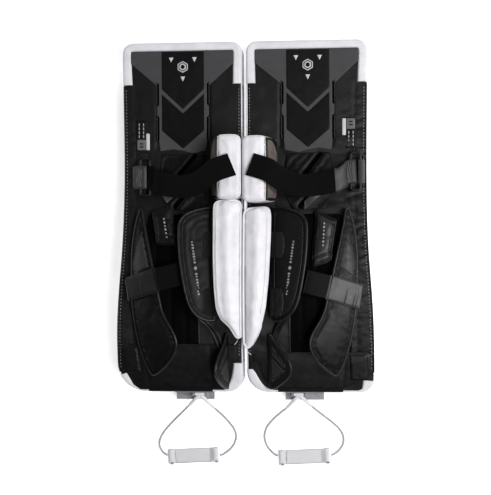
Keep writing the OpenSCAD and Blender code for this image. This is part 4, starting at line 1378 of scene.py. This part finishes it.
def fit_tab(side):
    """A padded tab that hangs down from the knee sling, in its own frame from the middle of its fixed edge."""
    turn, length = math.radians((9.5, 3.5)[side]), (92, 118)[side]
    at = ((181, 419), (179, 407))[side]
    c, s = math.cos(turn), math.sin(turn)

    def put(q):
        x, y = np.array(q, float).T
        return np.column_stack((at[0] + x * c + y * s, at[1] - x * s + y * c))

    foot = -length
    flat = ([(-22.5, 1.5), (-22, -40), (-22.5, foot + 12), (-20, foot + 4), (23, foot + 14), (22.5, -30), (22.5, -5)],
            [(-22.5, 4), (-21, -48), (-24, -66), (-24, foot - 1), (-20, foot - 4), (9, foot + 7), (19, foot + 16),
             (17.5, foot + 32), (21, -50), (24, -15)])[side]
    head_seam = put(([(-23, -1.5), (23, -13.5)], [(-23, -6), (24, -26)])[side])
    foot_seam = put(([(-23, foot + 26), (23, foot + 31)], [(-24, foot + 14), (18, foot + 36)])[side])
    pad = Padded(put(smooth(along(flat, 3, closed=True), 1)), over_back(8.3), over_back(17.6), roll=3.6, crown=2.0,
                 belly=11, bulge=0.6, step=4, rows=3, under=1.6,
                 seams=[(head_seam, 1.5, 2.2), (foot_seam, 1.8, 2.6)],
                 wrinkle=lambda q, d: 0.25 * folds(q, 80, 11, 2, 4.4) * ramp(d, 7))
    pins = [(looped(pad.edge), 3.0), (head_seam, 2.5), (foot_seam, 2.5)]
    pad.swell(f"fit_tab{side}", pins, pressure=2.0, cap=1.8, slack=0.02)
    shape = pad.shape()
    shape.tube(put_on(over_back(13.0))(pad.edge), 1.7, 1, closed=True)
    inset = inset_path(pad.edge, 6)
    raised(pad, shape, inset, 4, 0.9, 1.2, 4)
    shape.tube(pad.top(inset, 0.4), 0.8, 1, sides=6, closed=True)
    for i in range(7):
        y, w = -22 - 8.2 * i, 1.5 + 0.6 * (i % 2)
        if y > foot + 26:
            bar = put([(-2 - w, y), (-2 + w, y), (-2 + w, y - 4.6), (-2 - w, y - 4.6)])
            raised(pad, shape, bar, 3, 1.15, 0.3, 2.5, 0.8)
    # On the right pad the raised inset is grey instead of black: a painted highlight on its top
    mats = ["wing_black", "piping", "black_thread", "print_soft", ("wing_black", "ankle_grey")[side]]
    obj = make("fit_tab", side, shape, mats, "fit_tab")


for side in (0, 1):
    for build in (knee_block, calf_block, inner_wing, outer_wing, ankle_wing, fit_tab):
        build(side)


# ---- The knee strap with its tab and keeper

# The ring's middle, and how far its inner bar is from it
RING_X, RING_Y, RING_Z, RING_IN = (231, 257), (491, 500), 75, 21.6
# Where the knee strap's leather tab ends on the strap
TAB_END = (190, 204)


def knee_strap(side):
    stations = [((TAB_END[side] + 3, 480, 88.2), 6), ((160, 471, 96.5), 2), ((118, 468, 111.5), -10),
                ((80, 482, 134.5), -18), ((54, 500, 154), -22), ((13, 514, 153), -22)]
    shape = Shape()
    across = [heading(a) for _, a in stations]
    ribbon(shape, [p for p, _ in stations], across, 52, 2.8, 14, 4, wave=0.7, seed=1.1 + side)
    # Stitching across both ends of the hook-and-loop part
    a = np.array(across[-1][:2])
    for off in (3.0, 47.0):
        line = [(13, 514) + off * np.array((a[1], -a[0])) + a * v for v in (-23, 23)]
        stitches(shape, line, put_on(level(155.0 + 0.02 * off)), 0.0, 1, gap=2)
    obj = make("knee_strap", side, shape, ["black_elastic", "black_thread"], "knee_strap")


def knee_strap_tab(side):
    """The tab from the strap's end round the ring's inner bar and back under itself."""
    x, y, x0 = RING_X[side] - RING_IN, RING_Y[side], TAB_END[side]
    r = 4.7
    over = ([(x0 - 4, 480, 91.6), (x0 + 4, 481, 90.4)], [(x0 - 6, 480, 91.4)])[x - x0 <= 14]
    over += [((x + x0) / 2, (y + 480) / 2, 86.5), (x - 4, y - 1, RING_Z + r + 1.0)]
    if side:
        over.append((x + 3, y, RING_Z + r + 0.4))
        x += 7.5
    bend = [(x + r * math.sin(t), y, RING_Z + r * math.cos(t)) for t in np.radians(np.arange(0, 181, 30))]
    back = [(x - 8, y - 1, RING_Z - r + 0.5), ((x + x0) / 2, (y + 480) / 2, 77), (x0 + 2, 480, 83.5)]
    shape = Shape()
    ribbon(shape, over + bend + back, heading(3), 53, 2.2, 10, 2.5, wave=0.5, seed=4.1 + side)
    lay = put_on(lambda q: np.interp(q[:, 0], [x0 - 6, (x + x0) / 2, x], [92.7, 87.9, RING_Z + r + 1.3]))
    for u in (2, 8):
        stitches(shape, [[x0 + u, 456], [x0 + u - 2, 506]], lay, 0.4, 1, gap=2)
    for k in range(3):
        shape.tube(wiggle(lay, x - 4 - 5 * k, y - 20, 0.15, 1.5, 8.0, 6, 1.3, k), 0.9, 2, sides=6)
    mats = [("black_elastic", "tab_grey")[side], "black_thread", ("black_elastic", "tab_light")[side]]
    obj = make("knee_strap_tab", side, shape, mats, "knee_strap")


def ring_keeper(side):
    """The band that holds the ring's outer bar, with its foot sewn down, and its webbing tails."""
    x, y, end = RING_X[side], RING_Y[side], RING_X[side] + (21, 10)[side]
    r = 4.4
    loop = [(x + r * math.sin(t), y, RING_Z + r * math.cos(t)) for t in np.radians(np.arange(60, -201, -26))]
    over = [(x + 7, y, RING_Z + 2.5), (x, y, RING_Z + 5.4), (x - 12, y, RING_Z + 6.2),
            (x - 14.6, y, RING_Z + 4.9), (x - 12.4, y, RING_Z + 3.4), (x - 6, y, RING_Z + 2.6),
            (x - 4.7, y, RING_Z - 1), (x - 1.5, y, RING_Z - 4.6)]
    points = [(end, y, 61.6), (end - 1.5, y, 66.5)]
    points += [(x + 6.5, y, RING_Z - 1.0)] + loop if side else over
    points += [(x + 3, y, 64.5), (end - 5, y, 61.2)]
    shape = Shape()
    ribbon(shape, points, (0, 1, 0), 53, 1.8, 10, 1.6, wave=0.25, seed=2.1 + side)
    # Rows of thread over the left one's broad fold
    for k in range(0 if side else 8):
        px = x - 11 + 3.9 * k
        z = np.interp(px, [x - 13, x, x + 7, end - 1.5], [RING_Z + 7.2, RING_Z + 6.4, RING_Z + 3.6, 67.8])
        shape.tube(wiggle(put_on(level(z)), px, y - 20, 0, 1.1, 5.0, 9, 1.1, k), 0.8, 1, sides=6)
    mats = [("tab_grey", "grey_webbing")[side], "tab_light"]
    obj = make("ring_keeper", side, shape, mats, "pad")
    tails = Shape()
    for s in (-1, 1):
        path = [(x - 16, y + s * 50, 62.0), (x - 6, y + s * 49, 62.8), (x + 4, y + s * 46, 62.4),
                (x + 8, y + s * 38, 61.8)]
        ribbon(tails, path, (0.3 * s, 1, 0), 13, 1.8, 6, 2.5, wave=0.6, seed=s + 3.3)
    obj = make("keeper_tails", side, tails, ["tail_grey"], "pad")


def calf_straps(side):
    y = (259, 241)[side]
    points = [(134, y + 12, 112.5), (143, y + 10, 118.0), (163, y + 5, 125.5), (184, y, 130.4), (190, y - 1, 131)]
    shape = Shape()
    ribbon(shape, points, heading(-13.5), 52, 2.6, 14, 4, wave=0.5, seed=7.1 + side)
    mats = [("black_elastic", "black_webbing")[side]]
    obj = make("calf_strap", side, shape, mats, "calf_strap")

    stations = [((184, y, 130.9), -13), ((204, y - 6, 128.0), -14.5), ((222, y - 12, 122.8), -16),
                ((240, y - 18, 116.6), -12), ((258, y - 24, 109.9), -8)]
    points = np.array([p for p, _ in stations])
    xs, ys, zs = points.T
    shape = Shape()
    ribbon(shape, points, [heading(a) for _, a in stations], 54.5, 2.8, 12, 4, wave=0.5, seed=9.1 + side)
    lay = put_on(lambda q: np.interp(q[:, 0], xs, zs + 1.6))
    for x, a in ((187, -13), (223, -15), (228, -15), (241, -12), (247, -11), (253, -9)):
        c, w = np.array((x, np.interp(x, xs, ys))), np.array(heading(a)[:2]) * 24.5
        stitches(shape, [c - w, c + w], lay, 0.35, 1, gap=2, wide=0.8)
    x = np.linspace(188, 256, 12)
    for off in (-24.5, 24.5):
        stitches(shape, np.column_stack((x, np.interp(x, xs, ys) + off)), lay, 0.3, 1, gap=2)
    for x in (225.5, 244.0, 250.0):
        c, w = np.array((x, np.interp(x, xs, ys))), np.array((0.22, 1.0)) * 25
        shape.tube(lay(along([c - w, c + w], 4)) + (0, 0, 0.1), 0.9, 2, sides=6)
    # The right pad's tab takes a lighter copy of the left one's black: a painted highlight
    mats = [("tab_black", "painted_lit_strap")[side], "black_thread", "edge_grey"]
    obj = make("calf_strap_tab", side, shape, mats, "calf_strap")


# ---- The toe strap


def tilted(shape, centre, degrees):
    """Turns a shape in plan about a point."""
    c, s = math.cos(math.radians(degrees)), math.sin(math.radians(degrees))
    for v in shape.v:
        x, y = v[:, 0] - centre[0], v[:, 1] - centre[1]
        v[:, 0], v[:, 1] = centre[0] + x * c - y * s, centre[1] + x * s + y * c
    return shape


def toe_anchor(side):
    """The Y-shaped sleeve that the two cords come out of, with a rim at each end."""
    hub = np.array((HUB[side][0], -9, 46.0))
    shape = Shape()
    pin = [hub + (x, 0, 0) for x in np.linspace(-11.5, 11.5, 9)]
    shape.tube(pin, [3.0, 3.7, 3.8, 3.8, 3.8, 3.8, 3.8, 3.7, 3.0], 0, sides=16)
    t = np.linspace(0, 1, 14)
    sag = np.column_stack((0 * t, 0 * t, 2.0 * np.sin(np.pi * t)))
    r = np.interp(t, [0, 0.25, 0.86, 0.9, 0.97, 1], [3.6, 4.3, 3.7, 4.3, 4.3, 3.4])
    for end in ((27, -28, -22), (-30, -35, -26)):
        shape.tube(hub + np.outer(t, end) + sag, r, 0, sides=14)
    shape.tube([hub + (-7, -9, -7), hub + (0, -8, -6), hub + (6, -7, -6)], [3.4, 4.2, 3.4], 0, sides=12)
    make("toe_anchor", side, shape, ["white_plastic"], "toe_tie")


def toe_strap(side):
    """The band between the cords' ends, with a roll at each side, and the flap over its middle."""
    mx, my = HUB[side][0] + (21, 10)[side], HUB[side][1] - 149
    reach, roll_z = 52.5, 7.5
    centre, tilt = (mx, my), (-3, 3)[side]

    def spiral(x, turn):
        """A roll that ends at its top, with each turn a little inside the last."""
        angles = np.radians(90 + turn * np.arange(0, 351, 27))
        sizes = 6.4 - 0.9 * np.arange(len(angles)) / 13
        return [(x + r * math.cos(t), my, roll_z + r * math.sin(t)) for r, t in zip(sizes, angles)]

    band = [(mx - reach + 5, my, 11.2), (mx - reach + 10, my, 7.6), (mx, my, 7.0), (mx + reach - 10, my, 7.6),
            (mx + reach - 5, my, 11.2)]
    points = np.array(spiral(mx - reach, 1)[::-1] + band + spiral(mx + reach, -1))
    # The rolls are a little narrower on top than below, towards the pad
    cut = 4.5 * (roll_z - points[:, 2]) / 6.5 * ramp(np.abs(points[:, 0] - mx) - reach + 8, 4)
    points[:, 1] -= cut / 2
    shape = Shape()
    ribbon(shape, points, (0, 1, 0), 34 + cut, 2.2, 10, 1.6, wave=0.18, seed=5.5 + side)
    turn = np.linspace(0, 2 * np.pi, 24, endpoint=False)
    cos, sin = np.cos(turn), np.sin(turn)
    for s in (-1, 1):
        c = np.array((mx + s * reach, my - 16.5, roll_z))
        shape.tube(c + np.column_stack((4.7 * cos, 3.6 * sin, 4.7 * sin)), 0.9, 1, closed=True)
        # A near-black disc in the roll's open end: painted shade for its hollow
        disc = np.vstack(((0, 2.5, 0), np.column_stack((4.4 * cos, 2.5 + 3.4 * sin, 4.4 * sin))))
        shape.add(c + disc, [(0, 1 + k, 1 + (k + 1) % 24) for k in range(24)], 3)
        for off, z in ((5.5, 11.6), (12.5, 8.8)):
            x = mx + s * (reach - off)
            stitches(shape, [[x, my - 15], [x, my + 15]], put_on(level(z)), 0.1, 2, 2.6, 2)
    mats = ["white_webbing", "white_plastic", "pale_thread", "painted_hole_shade"]
    obj = make("toe_strap", side, tilted(shape, centre, tilt), mats, "toe_tie")

    flap = Shape()
    points = [(mx - 41, my, 9.9), (mx - 16.4, my, 10.2), (mx + 16.4, my, 10.2), (mx + 41, my, 9.9)]
    ribbon(flap, points, (0, 1, 0), 32, 2.0, 10, 2.2, wave=0.55, seed=8.5 + side)
    for x in (mx - 38, mx + 38):
        stitches(flap, [[x, my - 14], [x, my + 14]], put_on(level(11.2)), 0.1, 1, 2.6, 2)
    mats = ["white_webbing", "pale_thread"]
    obj = make("toe_strap_flap", side, tilted(flap, centre, tilt), mats, "toe_flap")


for side in (0, 1):
    for build in (knee_strap, knee_strap_tab, ring_keeper, calf_straps, toe_anchor, toe_strap):
        build(side)


# ---- CAD pieces that keep their shape

KEPT = {"toe_bridge": "clear_plastic", "knee_ring": "grey_plastic", "foam_core": "foam"}
for node_name, node in frame["nodes"].items():
    material = materials[KEPT.get(node_name.split("_", 1)[1], "black_leather")]
    node.data.materials.clear()
    node.data.materials.append(material)
